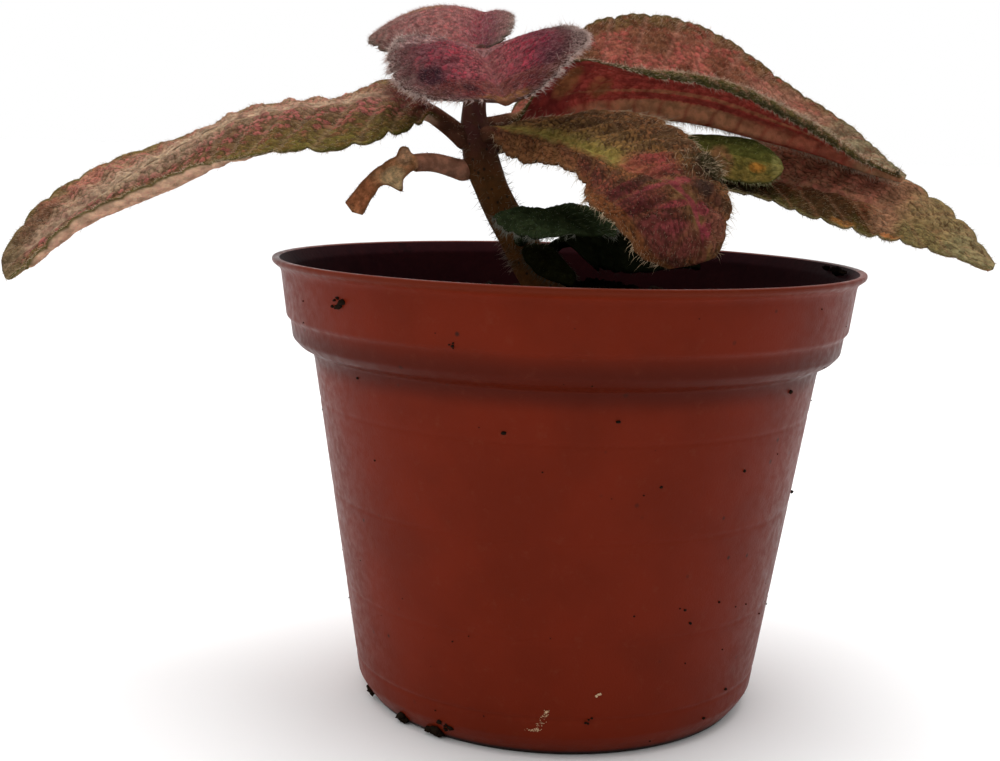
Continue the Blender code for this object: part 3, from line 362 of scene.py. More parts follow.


# Each leaf's colours, with places and shares in percent. left and right give
# stops from the midrib to the margin of a half's upper face, as (place,
# ground, bump, share of coloured bumps). groove lies between the bumps and is
# darker, partly by the leaf's own colour and partly as painted shade in the
# hollows. veins run over the upper face, rim is the thin edge, under and net
# are the lower face and its veins, and stalk is the bare stalk. A patch is
# (place along, place across, reach along, reach across, colour, strength),
# where across is positive on the left half. under_patches lie on the lower face
LOOKS = {
    "leaf_left": dict(
        left=[(0, (220, 145, 90), (270, 140, 100), 40), (22, (125, 68, 40), (320, 100, 86), 65),
              (50, (105, 62, 26), (290, 88, 70), 50), (85, (105, 78, 21), (135, 82, 25), 35)],
        right=[(0, (290, 195, 130), (320, 185, 130), 40), (30, (270, 170, 110), (340, 175, 120), 50),
               (60, (220, 120, 72), (350, 130, 98), 60), (100, (120, 86, 28), (200, 95, 42), 40)],
        groove=(70, 36, 18), veins=((340, 220, 140), 25), rim=(70, 60, 14), under=(500, 320, 210),
        net=(440, 225, 160),
        patches=[(1, -10, 12, 100, (60, 14, 12), 95), (46, -75, 5, 22, (150, 100, 55), 70),
                 (66, -95, 5, 25, (130, 90, 30), 70), (78, -70, 4.5, 25, (400, 135, 100), 60),
                 (88, -65, 3.5, 25, (380, 125, 90), 60), (60, 10, 16, 18, (340, 240, 155), 60),
                 (76, 50, 24, 22, (130, 105, 30), 60), (94, -55, 10, 40, (100, 58, 30), 80),
                 (101, 0, 7, 130, (130, 90, 48), 90)],
        under_patches=[(100, 90, 9, 80, (160, 110, 55), 90)]),
    "leaf_right_upper": dict(
        left=[(0, (280, 105, 75), (350, 105, 80), 40), (35, (270, 80, 56), (390, 98, 78), 50),
              (75, (220, 70, 46), (340, 82, 62), 50), (95, (120, 64, 30), (250, 66, 42), 40)],
        right=[(0, (240, 100, 60), (300, 105, 70), 40), (45, (230, 125, 70), (280, 130, 85), 40),
               (70, (150, 82, 35), (190, 90, 42), 30), (88, (50, 42, 11), (42, 42, 11), 40)],
        # under is the lower face's own red, made brighter as a painted glow of light shining through the
        # blade; the last of the under_patches gives the left half a calmer red.
        groove=(120, 45, 26), veins=((400, 170, 125), 35), rim=(60, 50, 16), under=(500, 85, 62),
        net=(300, 40, 30),
        patches=[(24, 62, 5, 16, (100, 48, 20), 70), (40, 70, 5.5, 16, (100, 46, 20), 70),
                 (47, 40, 3, 10, (120, 45, 20), 70), (56, 60, 5, 16, (105, 44, 20), 70),
                 (64, 88, 4, 10, (100, 50, 18), 70), (30, 92, 20, 8, (100, 60, 22), 60),
                 (70, 30, 10, 60, (280, 160, 105), 50), (80, -90, 25, 25, (75, 52, 18), 70),
                 (92, 40, 17, 80, (150, 140, 80), 85)],
        under_patches=[(4, -60, 14, 100, (180, 24, 22), 85), (13, -55, 3.5, 30, (340, 150, 55), 60),
                       (22, -35, 3, 20, (340, 150, 55), 60), (46, -6, 30, 8, (540, 310, 150), 70),
                       (48, -28, 32, 3.5, (520, 240, 110), 65), (55, -19, 30, 3.5, (260, 45, 35), 60),
                       (35, -45, 20, 4, (300, 40, 35), 50), (80, -10, 20, 12, (440, 150, 85), 70),
                       (96, -40, 8, 100, (420, 260, 140), 80), (45, 60, 100, 55, (240, 65, 45), 85)]),
    "leaf_right_lower": dict(
        left=[(0, (240, 105, 60), (300, 105, 70), 50), (30, (280, 110, 65), (420, 130, 80), 50),
              (95, (240, 120, 70), (300, 130, 80), 40)],
        # The right half darkens partly by its own colour and partly as painted shadow cast by
        # leaf_right_upper, which lies over it.
        right=[(0, (150, 60, 30), (200, 62, 35), 50), (30, (45, 19, 7), (85, 25, 11), 50),
               (60, (28, 15, 5), (55, 22, 8), 40), (95, (50, 38, 11), (75, 46, 13), 30)],
        groove=(50, 22, 10), veins=((240, 110, 60), 30), rim=(120, 95, 38), under=(200, 70, 40),
        net=(130, 40, 25),
        # The dark patch at 57 along and -60 across is painted shadow of leaf_right_upper too.
        patches=[(73, 10, 5, 110, (250, 125, 70), 80), (57, -60, 7, 60, (34, 17, 7), 80),
                 (66, 50, 5, 40, (360, 125, 85), 60), (84, 50, 7, 40, (280, 170, 105), 60),
                 (76, -95, 3.5, 12, (360, 120, 35), 70), (62, -95, 3, 10, (300, 120, 30), 60),
                 (84, 0, 9, 150, (165, 122, 50), 85), (97, 0, 9, 150, (190, 155, 74), 90)]),
    "leaf_front": dict(
        left=[(0, (160, 125, 32), (190, 140, 36), 50), (25, (100, 56, 22), (190, 104, 34), 50),
              (60, (62, 32, 15), (145, 62, 26), 50), (95, (60, 30, 15), (130, 54, 24), 50)],
        right=[(0, (160, 125, 32), (190, 130, 36), 50), (30, (80, 36, 18), (170, 62, 26), 50),
               (70, (60, 19, 14), (130, 33, 23), 50), (95, (90, 33, 17), (140, 50, 23), 40)],
        groove=(34, 15, 9), veins=((200, 110, 35), 15), rim=(100, 45, 20), under=(160, 60, 35),
        net=(110, 35, 20),
        patches=[(24, -80, 20, 50, (230, 100, 40), 75), (63, 12, 10, 34, (170, 24, 28), 75),
                 (82, -10, 16, 80, (62, 11, 14), 65), (74, -60, 5, 30, (52, 13, 12), 60),
                 (93, -50, 5, 40, (130, 32, 26), 60), (93, 55, 6, 40, (170, 56, 38), 70),
                 (98, 0, 7, 30, (120, 30, 24), 85), (86, -92, 26, 12, (120, 42, 14), 70),
                 (84, 3, 13, 5, (200, 24, 44), 60), (76, 16, 2, 12, (200, 26, 42), 50),
                 (86, 20, 2, 16, (200, 24, 42), 60), (92, 22, 2, 16, (200, 22, 42), 60),
                 (84, -22, 1.5, 22, (200, 30, 40), 60), (76, -30, 1.5, 26, (170, 30, 36), 60),
                 (90, -35, 1.5, 26, (170, 30, 36), 50), (72, 80, 5.5, 28, (20, 13, 9), 92),
                 (80, 45, 3, 22, (24, 16, 13), 80), (70, -20, 3, 22, (30, 16, 13), 60)]),
    "leaf_crown_front": dict(
        # The right half is lighter and the left half darker towards its margin: partly their own tones,
        # partly painted light falling from the -X side.
        left=[(0, (170, 60, 56), (220, 66, 68), 50), (35, (150, 35, 41), (280, 38, 54), 50),
              (62, (80, 20, 28), (150, 22, 36), 50), (88, (58, 29, 24), (85, 30, 27), 50)],
        right=[(0, (170, 60, 56), (220, 66, 68), 50), (35, (170, 43, 49), (300, 45, 60), 50),
               (62, (105, 32, 38), (180, 34, 46), 50), (88, (95, 55, 48), (130, 55, 51), 50)],
        groove=(60, 14, 18), veins=((240, 50, 50), 6), rim=(60, 34, 28), under=(170, 60, 35),
        net=(120, 34, 25),
        patches=[(82, 0, 12, 120, (78, 28, 18), 65), (99, 10, 8, 110, (130, 60, 24), 85),
                 (16, -85, 13, 28, (300, 185, 170), 75), (35, 92, 25, 16, (60, 30, 28), 70),
                 (8, 0, 7, 60, (220, 125, 120), 60), (64, -68, 8, 14, (20, 11, 15), 85),
                 (82, -42, 6, 10, (25, 13, 14), 70), (66, 74, 10, 10, (30, 12, 16), 70),
                 (88, 28, 4, 8, (30, 15, 13), 60)]),
    "leaf_crown_back": dict(
        left=[(0, (160, 45, 52), (230, 50, 62), 50), (30, (220, 88, 80), (320, 98, 92), 50),
              (70, (190, 100, 88), (290, 108, 100), 50), (95, (110, 70, 56), (160, 75, 62), 50)],
        right=[(0, (140, 38, 46), (200, 43, 54), 50), (40, (100, 34, 42), (160, 38, 48), 50),
               (90, (120, 68, 62), (150, 72, 66), 50)],
        groove=(110, 40, 38), veins=((360, 170, 140), 12), rim=(110, 85, 65), under=(200, 80, 50),
        net=(150, 45, 35),
        patches=[(62, 75, 12, 25, (260, 140, 60), 70)]),
    "leaf_small_green": dict(
        # The left half is a darker green than the right: painted shade on the half that rises at the back.
        left=[(0, (53, 50, 11), (58, 56, 12), 50), (100, (22, 24, 6), (32, 32, 7), 50)],
        right=[(0, (88, 68, 16), (98, 78, 17), 50), (100, (100, 64, 16), (110, 74, 18), 50)],
        groove=(40, 36, 9), veins=((130, 110, 25), 35), rim=(55, 50, 14), under=(70, 80, 16),
        net=(50, 60, 11),
        patches=[(80, -40, 8, 22, (240, 90, 14), 75), (46, -40, 12, 70, (140, 52, 28), 70),
                 (98, 0, 7, 100, (120, 105, 35), 60)]),
    # The three low leaves are dark green made near black as painted shade of the leaves above them;
    # leaf_low_back is a near-black leaf put where there is shade behind the others.
    "leaf_low_front": even_look((11, 15, 6), (26, 36, 15)),
    "leaf_low_hanging": even_look((18, 17, 5), (8, 8, 2.5)),
    "leaf_low_back": even_look((4.2, 4.8, 2), (3.6, 4.2, 1.8)),
    "cut_leaf_stalk": dict(
        left=[(0, (500, 260, 120), (520, 270, 125), 50), (100, (460, 220, 105), (500, 240, 115), 50)],
        right=[(0, (500, 260, 120), (520, 270, 125), 50), (100, (420, 190, 90), (460, 210, 100), 50)],
        groove=(400, 180, 90), veins=((360, 220, 90), 0), rim=(260, 120, 55), under=(460, 210, 110),
        net=(400, 160, 80), stalk=(520, 240, 150),
        patches=[(80, 0, 22, 200, (380, 130, 55), 80), (36, 60, 16, 90, (680, 540, 300), 70),
                 (14, -60, 10, 90, (600, 400, 250), 50), (40, 100, 3, 10, (30, 20, 12), 90)]),
}

# Hairs on each leaf: how many lie on its faces, how long they are, how much
# denser they are at the margin, and their colour on the face and at the
# margin. Then come those that stand along its left margin, along its right one
# and below its midrib: how many, and how long
HAIRS = {
    "leaf_left": (8500, (0.6, 1.4), 0.3, (360, 250, 170), (400, 300, 200),
        ((600, 0.3, 0.8), (1000, 0.4, 0.9))),
    "leaf_right_upper": (7500, (0.5, 1.2), 2, (340, 210, 140), (500, 380, 270),
        ((600, 0.3, 0.7), (500, 0.4, 1), (1300, 0.7, 1.5))),
    "leaf_right_lower": (6000, (0.6, 1.3), 0.3, (260, 180, 110), (320, 260, 170),
        ((500, 0.3, 0.7), (700, 0.3, 0.8))),
    "leaf_front": (3200, (0.5, 1.2), 1, (240, 150, 90), (460, 340, 220),
        ((380, 0.8, 2), (240, 0.8, 1.8))),
    "leaf_crown_front": (7500, (0.6, 1.2), 2, (270, 130, 130), (500, 370, 330),
        ((800, 0.7, 1.4), (900, 0.7, 1.4))),
    "leaf_crown_back": (5500, (0.6, 1.3), 1.5, (340, 180, 160), (400, 280, 240),
        ((500, 0.3, 0.7), (500, 0.3, 0.8))),
    "leaf_small_green": (400, (0.5, 1), 1, (180, 170, 70), (260, 240, 120),
        ((120, 0.4, 0.8), (200, 0.5, 1.1))),
    "leaf_low_front": (700, (0.6, 1.3), 2, (110, 120, 90), (200, 200, 160),
        ((120, 0.6, 1.2), (300, 0.8, 1.5))),
    # The hanging and back low leaves have dark hairs: painted shade, like their blades.
    "leaf_low_hanging": (200, (0.6, 1.2), 1, (40, 36, 24), (80, 75, 55),
        ((110, 0.8, 1.6), (110, 0.8, 1.6))),
    "leaf_low_back": (60, (0.6, 1.2), 1, (10, 10, 7), (10, 10, 7), ((60, 0.7, 1.4), (60, 0.7, 1.4))),
    "cut_leaf_stalk": (500, (0.3, 0.6), 0, (460, 300, 200), (460, 300, 200),
        ((30, 0.3, 0.5), (30, 0.3, 0.5))),
}

# Tangles of hairs on a blade: place along, place across, the reach of both, how
# many hairs, how long they are, and 1 for pale hairs or -1 for dark ones
TUFTS = {
    "leaf_front": [(0.72, 0.72, 0.05, 0.28, 420, (0.8, 2.0), -1.0),
                   (0.71, 0.62, 0.06, 0.34, 120, (1.0, 2.2), 1.0)],
    "leaf_right_upper": [(0.60, -0.97, 0.50, 0.05, 1500, (0.7, 1.7), -1.0),
                         (0.55, -0.78, 0.55, 0.09, 1600, (0.5, 1.1), 1.0)],
    "leaf_crown_front": [(0.15, 0.93, 0.50, 0.08, 700, (0.6, 1.3), 1.0),
                         (0.10, -0.95, 0.40, 0.06, 450, (0.5, 1.1), 1.0)],
}
TUFT_COLOUR = (50, 42, 14)
FACE_HAIR = 0.033         # radius of a hair's foot on a face
EDGE_HAIR = 0.042         # and at a margin
HAIR_SINK = 0.06          # how deep its foot is set
HAIR_SPREAD = (0.7, 1.3)  # how far radii vary
FACE_SHARES = (0.85, 0.15)   # of the lying hairs, on the upper and the lower face
TANGLE = 0.45             # how far standing hairs stray and bend
OFF_AXIS = (0.31, 0.17, 0.59)   # keeps a hair's sides square to it from vanishing


def curve_through(keys, rows, at):
    """Values at the places 'at' of a smooth curve through 'rows' at 'keys'."""
    keys, rows, at = np.asarray(keys, float), np.asarray(rows, float), np.asarray(at, float)
    slope = np.gradient(rows, keys, axis=0)
    low = np.clip(np.searchsorted(keys, at, side="right") - 1, 0, len(keys) - 2)
    span = (keys[low + 1] - keys[low])[:, None]
    f = (at - keys[low])[:, None] / span
    keep = (1 + 2 * f) * (1 - f) ** 2
    return (keep * rows[low] + (1 - keep) * rows[low + 1]
            + f * (1 - f) ** 2 * span * slope[low] - f ** 2 * (1 - f) * span * slope[low + 1])


def along(points, shares):
    """Points at shares of the length of a smooth line through 'points'."""
    points = np.asarray(points, float)
    keys = np.concatenate([[0], np.cumsum(np.linalg.norm(np.diff(points, axis=0), axis=1))])
    return curve_through(keys / keys[-1], points, shares)


def unit(vectors):
    return vectors / np.maximum(np.linalg.norm(vectors, axis=-1, keepdims=True), 1e-12)


def smooth_step(low, high, value):
    t = np.clip((value - low) / (high - low), 0, 1)
    return t * t * (3 - 2 * t)


def circle(sides):
    """Points round a circle of radius 1, and their turns."""
    turn = np.arange(sides) * 2 * math.pi / sides
    return np.stack([np.cos(turn), np.sin(turn)], axis=1), turn


def make_piece(name, points, faces, material, numbers=None):
    """A smooth-shaded object from millimetre points, with numbers kept at its points."""
    mesh = bpy.data.meshes.new(name)
    mesh.from_pydata((np.asarray(points) * MM).tolist(), [], faces)
    for key, values in (numbers or {}).items():
        layer = mesh.attributes.new(key, "FLOAT", "POINT")
        layer.data.foreach_set("value", np.asarray(values, np.float32).ravel())
    mesh.materials.append(material)
    mesh.shade_smooth()
    made = bpy.data.objects.new(name, mesh)
    bpy.context.scene.collection.objects.link(made)
    return made


def ringed(name, rings, caps, material, numbers=None):
    """A closed piece from rings with equally many points and a centre for each end."""
    count, sides = len(rings), len(rings[0])
    points = np.vstack([np.reshape(rings, (-1, 3)), caps])
    return make_piece(name, points, ring_quads(count, sides) + cap_fans(count, sides), material, numbers)


def ring_quads(rings, sides):
    """Quads that join closed rings of points."""
    r, s = np.meshgrid(np.arange(rings - 1), np.arange(sides), indexing="ij")
    a, b = r * sides + s, r * sides + (s + 1) % sides
    return np.stack([a, b, b + sides, a + sides], axis=-1).reshape(-1, 4).tolist()


def cap_fans(rings, sides):
    """Triangles that close the first and last ring at centres that follow the rings' points."""
    first, last, end = rings * sides, rings * sides + 1, (rings - 1) * sides
    return ([(first, (s + 1) % sides, s) for s in range(sides)]
            + [(last, end + s, end + (s + 1) % sides) for s in range(sides)])


def leaf_lines(midrib, left, shares):
    """Points on the midrib, the way it runs, and which way is left and up there."""
    spine = along(midrib, shares)
    fine = np.linspace(0, 1, MIDRIB_STEPS)
    run = np.gradient(along(midrib, fine), axis=0)
    way = unit(np.array([np.interp(shares, fine, run[:, k]) for k in range(3)]).T)
    hint = np.array(left[0]) * (1 - shares)[:, None] + np.array(left[1]) * shares[:, None]
    side = unit(hint - (hint * way).sum(1)[:, None] * way)
    return spine, way, side, np.cross(way, side)


def half_blade(way_out, up, width, slope_in, slope_out, q):
    """One half of each cross-section, at the shares q of its width.

    Given back are its points, which way its upper face looks there, and which
    way is out along it.
    """
    fine = np.linspace(0, 1, FINE_STEPS + 1)
    middle = (fine[1:] + fine[:-1]) / 2
    bend = (slope_out - slope_in)[:, None]
    turn = np.radians(slope_in[:, None] + bend * middle ** MARGIN_BEND)
    step = width[:, None] / FINE_STEPS
    run = np.pad(np.cumsum(np.cos(turn), axis=1), ((0, 0), (1, 0))) * step
    rise = np.pad(np.cumsum(np.sin(turn), axis=1), ((0, 0), (1, 0))) * step
    run = np.array([np.interp(q, fine, row) for row in run])
    rise = np.array([np.interp(q, fine, row) for row in rise])
    slope = np.radians(slope_in[:, None] + bend * q ** MARGIN_BEND)[..., None]
    points = run[..., None] * way_out[:, None] + rise[..., None] * up[:, None]
    facing = np.cos(slope) * up[:, None] - np.sin(slope) * way_out[:, None]
    outward = np.cos(slope) * way_out[:, None] + np.sin(slope) * up[:, None]
    return points, facing, outward


def toothed_edge(u, shape, small_teeth, width):
    """How far the margin stands out: round teeth hooked a little to the tip, and small ones on them."""
    lobe = np.sqrt(np.abs(np.sin(math.pi * ((u * shape["teeth"]) % 1.0) ** TOOTH_HOOK)))
    edge = shape["tooth"] * (lobe - 0.5) * np.clip(width / TOOTH_FULL_WIDTH, 0, 1)
    if small_teeth:
        small = np.abs(np.sin(math.pi * u * shape["teeth"] * small_teeth)) ** 0.7 - 0.6
        edge = edge + SMALL_TOOTH * small * (width > SMALL_TOOTH_WIDTH)
    return edge


def pleats(u, q, teeth, pleat, width):
    """Height of the ridges between the side veins, which leave the midrib at a slant."""
    swell = np.sin(math.pi * q) ** 0.6 * (1 + 0.5 * np.cos(4 * math.pi * q))
    phase = u[:, None] * teeth - VEIN_SLANT * q + VEIN_START
    ridge = np.sin(math.pi * phase) ** 2 - PLEAT_SINK
    return pleat * ridge * swell * np.clip(width[:, None] / PLEAT_FULL_WIDTH, 0, 1)


def quilting(a, b, seed):
    """Rounded bumps with narrow grooves between, over the plane (a, b).

    Given back are each place's height, from 0 in a groove to 1 on a bump, and
    a number from 0 to 1 that is the same all over a bump.
    """
    draw = np.random.default_rng(seed)
    a, b = a - a.min() + 2, b - b.min() + 2
    size = int(max(a.max(), b.max())) + 4
    shift = draw.uniform(0.0, 1.0, (size, size, 2))
    tone = draw.uniform(0, 1, (size, size))
    i, j = np.floor(a).astype(int), np.floor(b).astype(int)
    nearest = np.full(a.shape, 9.0)
    second = np.full(a.shape, 9.0)
    own = np.zeros(a.shape)
    for di, dj in itertools.product((-1, 0, 1), repeat=2):
        at = shift[i + di, j + dj]
        away = np.hypot(i + di + at[..., 0] - a, j + dj + at[..., 1] - b)
        closer = away < nearest
        second = np.where(closer, nearest, np.minimum(second, away))
        own = np.where(closer, tone[i + di, j + dj], own)
        nearest = np.minimum(nearest, away)
    return smooth_step(-0.1, 0.75, second - nearest), own


def leaf_stations(shape, mesh_step):
    """The length of a leaf's midrib, and the shares of it where rings of points lie."""
    stalk = shape["stalk"]
    length = np.linalg.norm(np.diff(np.array(shape["midrib"]), axis=0), axis=1).sum()
    bare = np.linspace(0, stalk, 4 + int(stalk * length / mesh_step / 2), endpoint=False)
    return length, np.concatenate([bare, np.linspace(stalk, 1, 1 + int((1 - stalk) * length / mesh_step))])


def rounded_stalk(shape, shares, length, blend, spine, side, up, top, below):
    """Both faces with the stalk made round, wider at the stem and flat at the blade's foot."""
    radius = np.interp(shares, (0, shape["stalk"]), shape["stalk_radius"])
    radius *= 1 + STALK_FLARE * np.exp(-np.maximum(shares, 0) * length / FLARE_LENGTH)
    radius *= np.sqrt(1 - 0.9 * np.clip(-shares * length / STALK_ROOT, 0, 1) ** 2)
    radius = radius[:, None, None]
    across = top.shape[1]
    turn = (math.pi * (np.arange(across) + 0.5) / across)[None, :, None]
    centre = (spine - up * (shape["stalk_radius"][1] - BLADE_THICKNESS / 2))[:, None]
    beside = centre + radius * np.cos(turn) * side[:, None]
    above = radius * np.sin(turn) * up[:, None]
    return (beside + above) * (1 - blend) + top * blend, (beside - above) * (1 - blend) + below * blend


def leaf_surface(name, shape, seed):
    """A leaf's fine upper and lower face as grids, with numbers for its materials."""
    cell_width, cell_height, mesh_step, pleat_share, small_teeth = RELIEF[name]
    stalk, teeth = shape["stalk"], shape["teeth"]
    table = np.array(shape["blade"], float)
    length, shares = leaf_stations(shape, mesh_step)
    spine, way, side, up = leaf_lines(shape["midrib"], shape["left"], shares)

    # The stalk's root runs straight on into the stem
    root = STALK_ROOT * np.linspace(1, 0, ROOT_RINGS, endpoint=False)
    spine = np.vstack([spine[0] - way[0] * root[:, None], spine])
    way, side, up = [np.vstack([np.repeat(line[:1], ROOT_RINGS, axis=0), line]) for line in (way, side, up)]
    shares = np.concatenate([-root / length, shares])
    u = np.clip((shares - stalk) / (1 - stalk), 0, 1)
    wide_left, wide_right, left_in, left_out, right_in, right_out = curve_through(
        table[:, 0] * PERCENT, table[:, 1:], u).T
    q = np.linspace(0, 1, 5 + int(table[:, 1:3].max() / mesh_step))
    edge = toothed_edge(u, shape, small_teeth, wide_left)
    lift = pleats(u, q, teeth, shape["pleat"] * pleat_share, wide_left)
    cells_per_tooth = (1 - stalk) * length / teeth / cell_width
    halves = []
    for k, (out, width, inner, outer) in enumerate(((side, wide_left, left_in, left_out),
                                                    (-side, wide_right, right_in, right_out))):
        points, facing, outward = half_blade(out, up, width, inner, outer, q)
        span = q * width[:, None]
        across = np.broadcast_to(q * (1 - 2 * k), span.shape)
        lean = VEIN_SLANT * np.clip(width / CELL_SLANT_WIDTH, 0, 1)[:, None] * q
        cell, tone = quilting((u[:, None] * teeth - lean) * cells_per_tooth, span / cell_width, seed + k)
        calm = smooth_step(0.3, 2.0, span) * smooth_step(-0.2, 1.4, width[:, None] - span)
        strength = np.clip(width / PLEAT_FULL_WIDTH, 0, 1)[:, None]
        tight = smooth_step(CURL_START, CURL_FULL, np.abs(outer - inner))[:, None]
        relief = lift * (1 - CURL_CALM * tight) + cell_height * (cell - CELL_LEVEL) * calm * strength
        for at, where, reach_along, reach_across, height in SWELLS.get(name, ()):
            far = ((u[:, None] - at) / reach_along) ** 2 + ((across - where) / reach_across) ** 2
            relief += height * np.exp(-far)
        relief -= MIDRIB_GROOVE * np.exp(-(span / MIDRIB_GROOVE_WIDTH) ** 2) * strength
        curled = smooth_step(CURL_START, CURL_FULL, outer - inner) * (outer > 0)
        reach = (edge * (1 - (1 - CURLED_TOOTH) * curled))[:, None] * q ** 4
        points = points + outward * reach[..., None] + facing * relief[..., None]
        vein = np.cos(math.pi * (u[:, None] * teeth - VEIN_SLANT * q + VEIN_START)) ** 2
        halves.append(dict(points=points, facing=facing, outward=outward, tone=tone, vein=vein,
                           cell=cell * calm + CELL_LEVEL * (1 - calm), rim=width[:, None] - span,
                           across=across))

    def join(key):
        return np.concatenate([halves[0][key][:, ::-1], halves[1][key][:, 1:]], axis=1)

    top = join("points") + spine[:, None]
    facing = join("facing")
    facing[:, len(q) - 1] = up
    margin = np.abs(join("across"))
    thick = BLADE_THICKNESS * (1 - MARGIN_THINNING * smooth_step(0.9, 1.0, margin))
    rib = np.exp(-(margin * wide_left[:, None] / MIDRIB_GROOVE_WIDTH) ** 2)
    depth = RIB_DEPTH + (shape["stalk_radius"][1] * 2 - BLADE_THICKNESS - RIB_DEPTH) * (1 - u) ** 1.5
    below = top - facing * (thick + rib * depth[:, None])[..., None]
    blend = smooth_step(0, BLADE_FOOT, u)[:, None, None]
    top, below = rounded_stalk(shape, shares, length, blend, spine, side, up, top, below)
    numbers = {key: join(key) for key in ("across", "cell", "tone", "vein", "rim")}
    numbers["place"] = np.broadcast_to(((shares - stalk) / (1 - stalk))[:, None], top.shape[:2])
    return dict(top=top, below=below, outward=join("outward"), way=way, numbers=numbers, u=u)


def leaf_mesh(name, surface, material):
    """The leaf as one closed skin. The number 'upper' is 1 on its upper face."""
    top, below = surface["top"], surface["below"]
    skin = np.concatenate([top, below[:, ::-1]], axis=1)
    caps = [skin[0].mean(0), skin[-1].mean(0) + surface["way"][-1] * BLADE_THICKNESS]
    numbers = {}
    for key, grid in surface["numbers"].items():
        both = np.concatenate([grid, grid[:, ::-1]], axis=1)
        numbers[key] = np.concatenate([both.ravel(), [both[0].mean(), both[-1].mean()]])
    upper = np.concatenate([np.ones(top.shape[:2]), np.zeros(below.shape[:2])], axis=1)
    numbers["upper"] = np.concatenate([upper.ravel(), [1.0, 1.0]])
    return ringed(name, skin, caps, material, numbers)


def spikes(roots, ways, widths, bends=None):
    """Points and faces of hairs, each a closed three-sided spike that 'bends' bend halfway."""
    first = unit(np.cross(ways, np.roll(ways, 1, axis=1) + OFF_AXIS))
    second = unit(np.cross(ways, first))
    straight = bends is None
    size = 4 if straight else 7
    points = np.empty((len(roots), size, 3))
    corners = [(2, 1, 0)]
    for k in range(3):
        n = (k + 1) % 3
        turn = 2 * math.pi * k / 3
        out = (math.cos(turn) * first + math.sin(turn) * second) * widths[:, None]
        points[:, k] = roots + out
        if straight:
            corners.append((k, n, 3))
        else:
            points[:, 3 + k] = roots + ways * 0.55 + bends * 0.22 + out * 0.7
            corners += [(k, n, 3 + n), (k, 3 + n, 3 + k), (3 + k, 3 + n, 6)]
    points[:, -1] = roots + ways if straight else roots + ways * 0.95 + bends
    start = (np.arange(len(roots)) * size)[:, None]
    return points.reshape(-1, 3), np.vstack([start + np.array(c) for c in corners]).tolist()


def lying_hairs(surface, count, lengths, crowd, draw):
    """Hairs that lie on both faces of a leaf, as points, faces and how pale they are."""
    outward, across = surface["outward"], np.abs(surface["numbers"]["across"])[:-1, :-1]
    roots, ways, long, pale = [], [], [], []
    for grid, sign, share in zip((surface["top"], surface["below"]), (1, -1), FACE_SHARES):
        area = np.cross(grid[1:, :-1] - grid[:-1, :-1], grid[:-1, 1:] - grid[:-1, :-1])
        area = np.linalg.norm(area, axis=-1) * (1 + crowd * smooth_step(0.6, 1.0, across))
        take = int(count * share)
        picked = draw.choice(area.size, take, p=(area / area.sum()).ravel())
        r, c = np.unravel_index(picked, area.shape)
        f, g = draw.uniform(0, 1, (2, take, 1))
        at = ((grid[r, c] * (1 - f) + grid[r + 1, c] * f) * (1 - g)
              + (grid[r, c + 1] * (1 - f) + grid[r + 1, c + 1] * f) * g)
        normal = unit(np.cross(grid[r, c + 1] - grid[r, c], grid[r + 1, c] - grid[r, c])) * sign
        lean = outward[r, c] * 0.7 + surface["way"][r] * 0.7 + draw.normal(0, 0.28, (take, 3))
        roots.append(at - normal * HAIR_SINK)
        ways.append(unit(normal * draw.uniform(0.25, 0.7, (take, 1)) + lean))
        long.append(draw.uniform(*lengths, take))
        pale.append(smooth_step(0.84, 1.0, across[r, c]))
    roots, ways = np.vstack(roots), np.vstack(ways) * np.concatenate(long)[:, None]
    points, faces = spikes(roots, ways, FACE_HAIR * draw.uniform(*HAIR_SPREAD, len(roots)))
    return points, faces, np.repeat(np.concatenate(pale), 4)


def standing_hairs(surface, column, style, draw):
    """Hairs that stand out along a margin, or below the midrib."""
    take, shortest, longest = style
    top, below, way = surface["top"], surface["below"], surface["way"]
    r = draw.integers(int(np.argmax(surface["u"] > 0)) + 2, len(top) - 1, take)
    f = draw.uniform(0, 1, (take, 1))
    stand = surface["outward"][r, column]
    if column == top.shape[1] // 2:
        f = f * 0
        stand = unit(below[r, column] - top[r, column]) + draw.normal(0, 0.5, (take, 3))
    at = top[r, column] * f + below[r, column] * (1 - f) + way[r] * draw.uniform(-0.3, 0.3, (take, 1))
    lengths = draw.uniform(shortest, longest, take)[:, None]
    stand = unit(stand + way[r] * 0.4 + draw.normal(0, 0.25, (take, 3)))
    bends = (draw.normal(0, TANGLE, (take, 3)) + (0, 0, -0.1)) * lengths
    points, faces = spikes(at, stand * lengths, EDGE_HAIR * draw.uniform(*HAIR_SPREAD, take), bends)
    return points, faces, np.ones(len(points))


def tuft(surface, at, side, reach_along, reach_across, take, lengths, tone, draw):
    """Tangled hairs round one place of a blade."""
    top = surface["top"]
    places, sides = surface["numbers"]["place"][:, 0], surface["numbers"]["across"][0]
    r = np.abs(places[:, None] - draw.normal(at, reach_along / 2, take)).argmin(0)
    c = np.abs(sides[:, None] - draw.normal(side, reach_across / 2, take)).argmin(0)
    r, c = np.minimum(r, top.shape[0] - 2), np.minimum(c, top.shape[1] - 2)
    normal = unit(np.cross(top[r, c + 1] - top[r, c], top[r + 1, c] - top[r, c]))
    lengths = draw.uniform(*lengths, take)[:, None]
    stand = unit(normal + draw.normal(0, TANGLE, (take, 3)) + (0, 0, -0.4))
    bends = draw.normal(0, TANGLE, (take, 3)) * lengths
    points, faces = spikes(top[r, c] - normal * HAIR_SINK, stand * lengths, np.full(take, EDGE_HAIR), bends)
    return points, faces, np.full(len(points), tone)


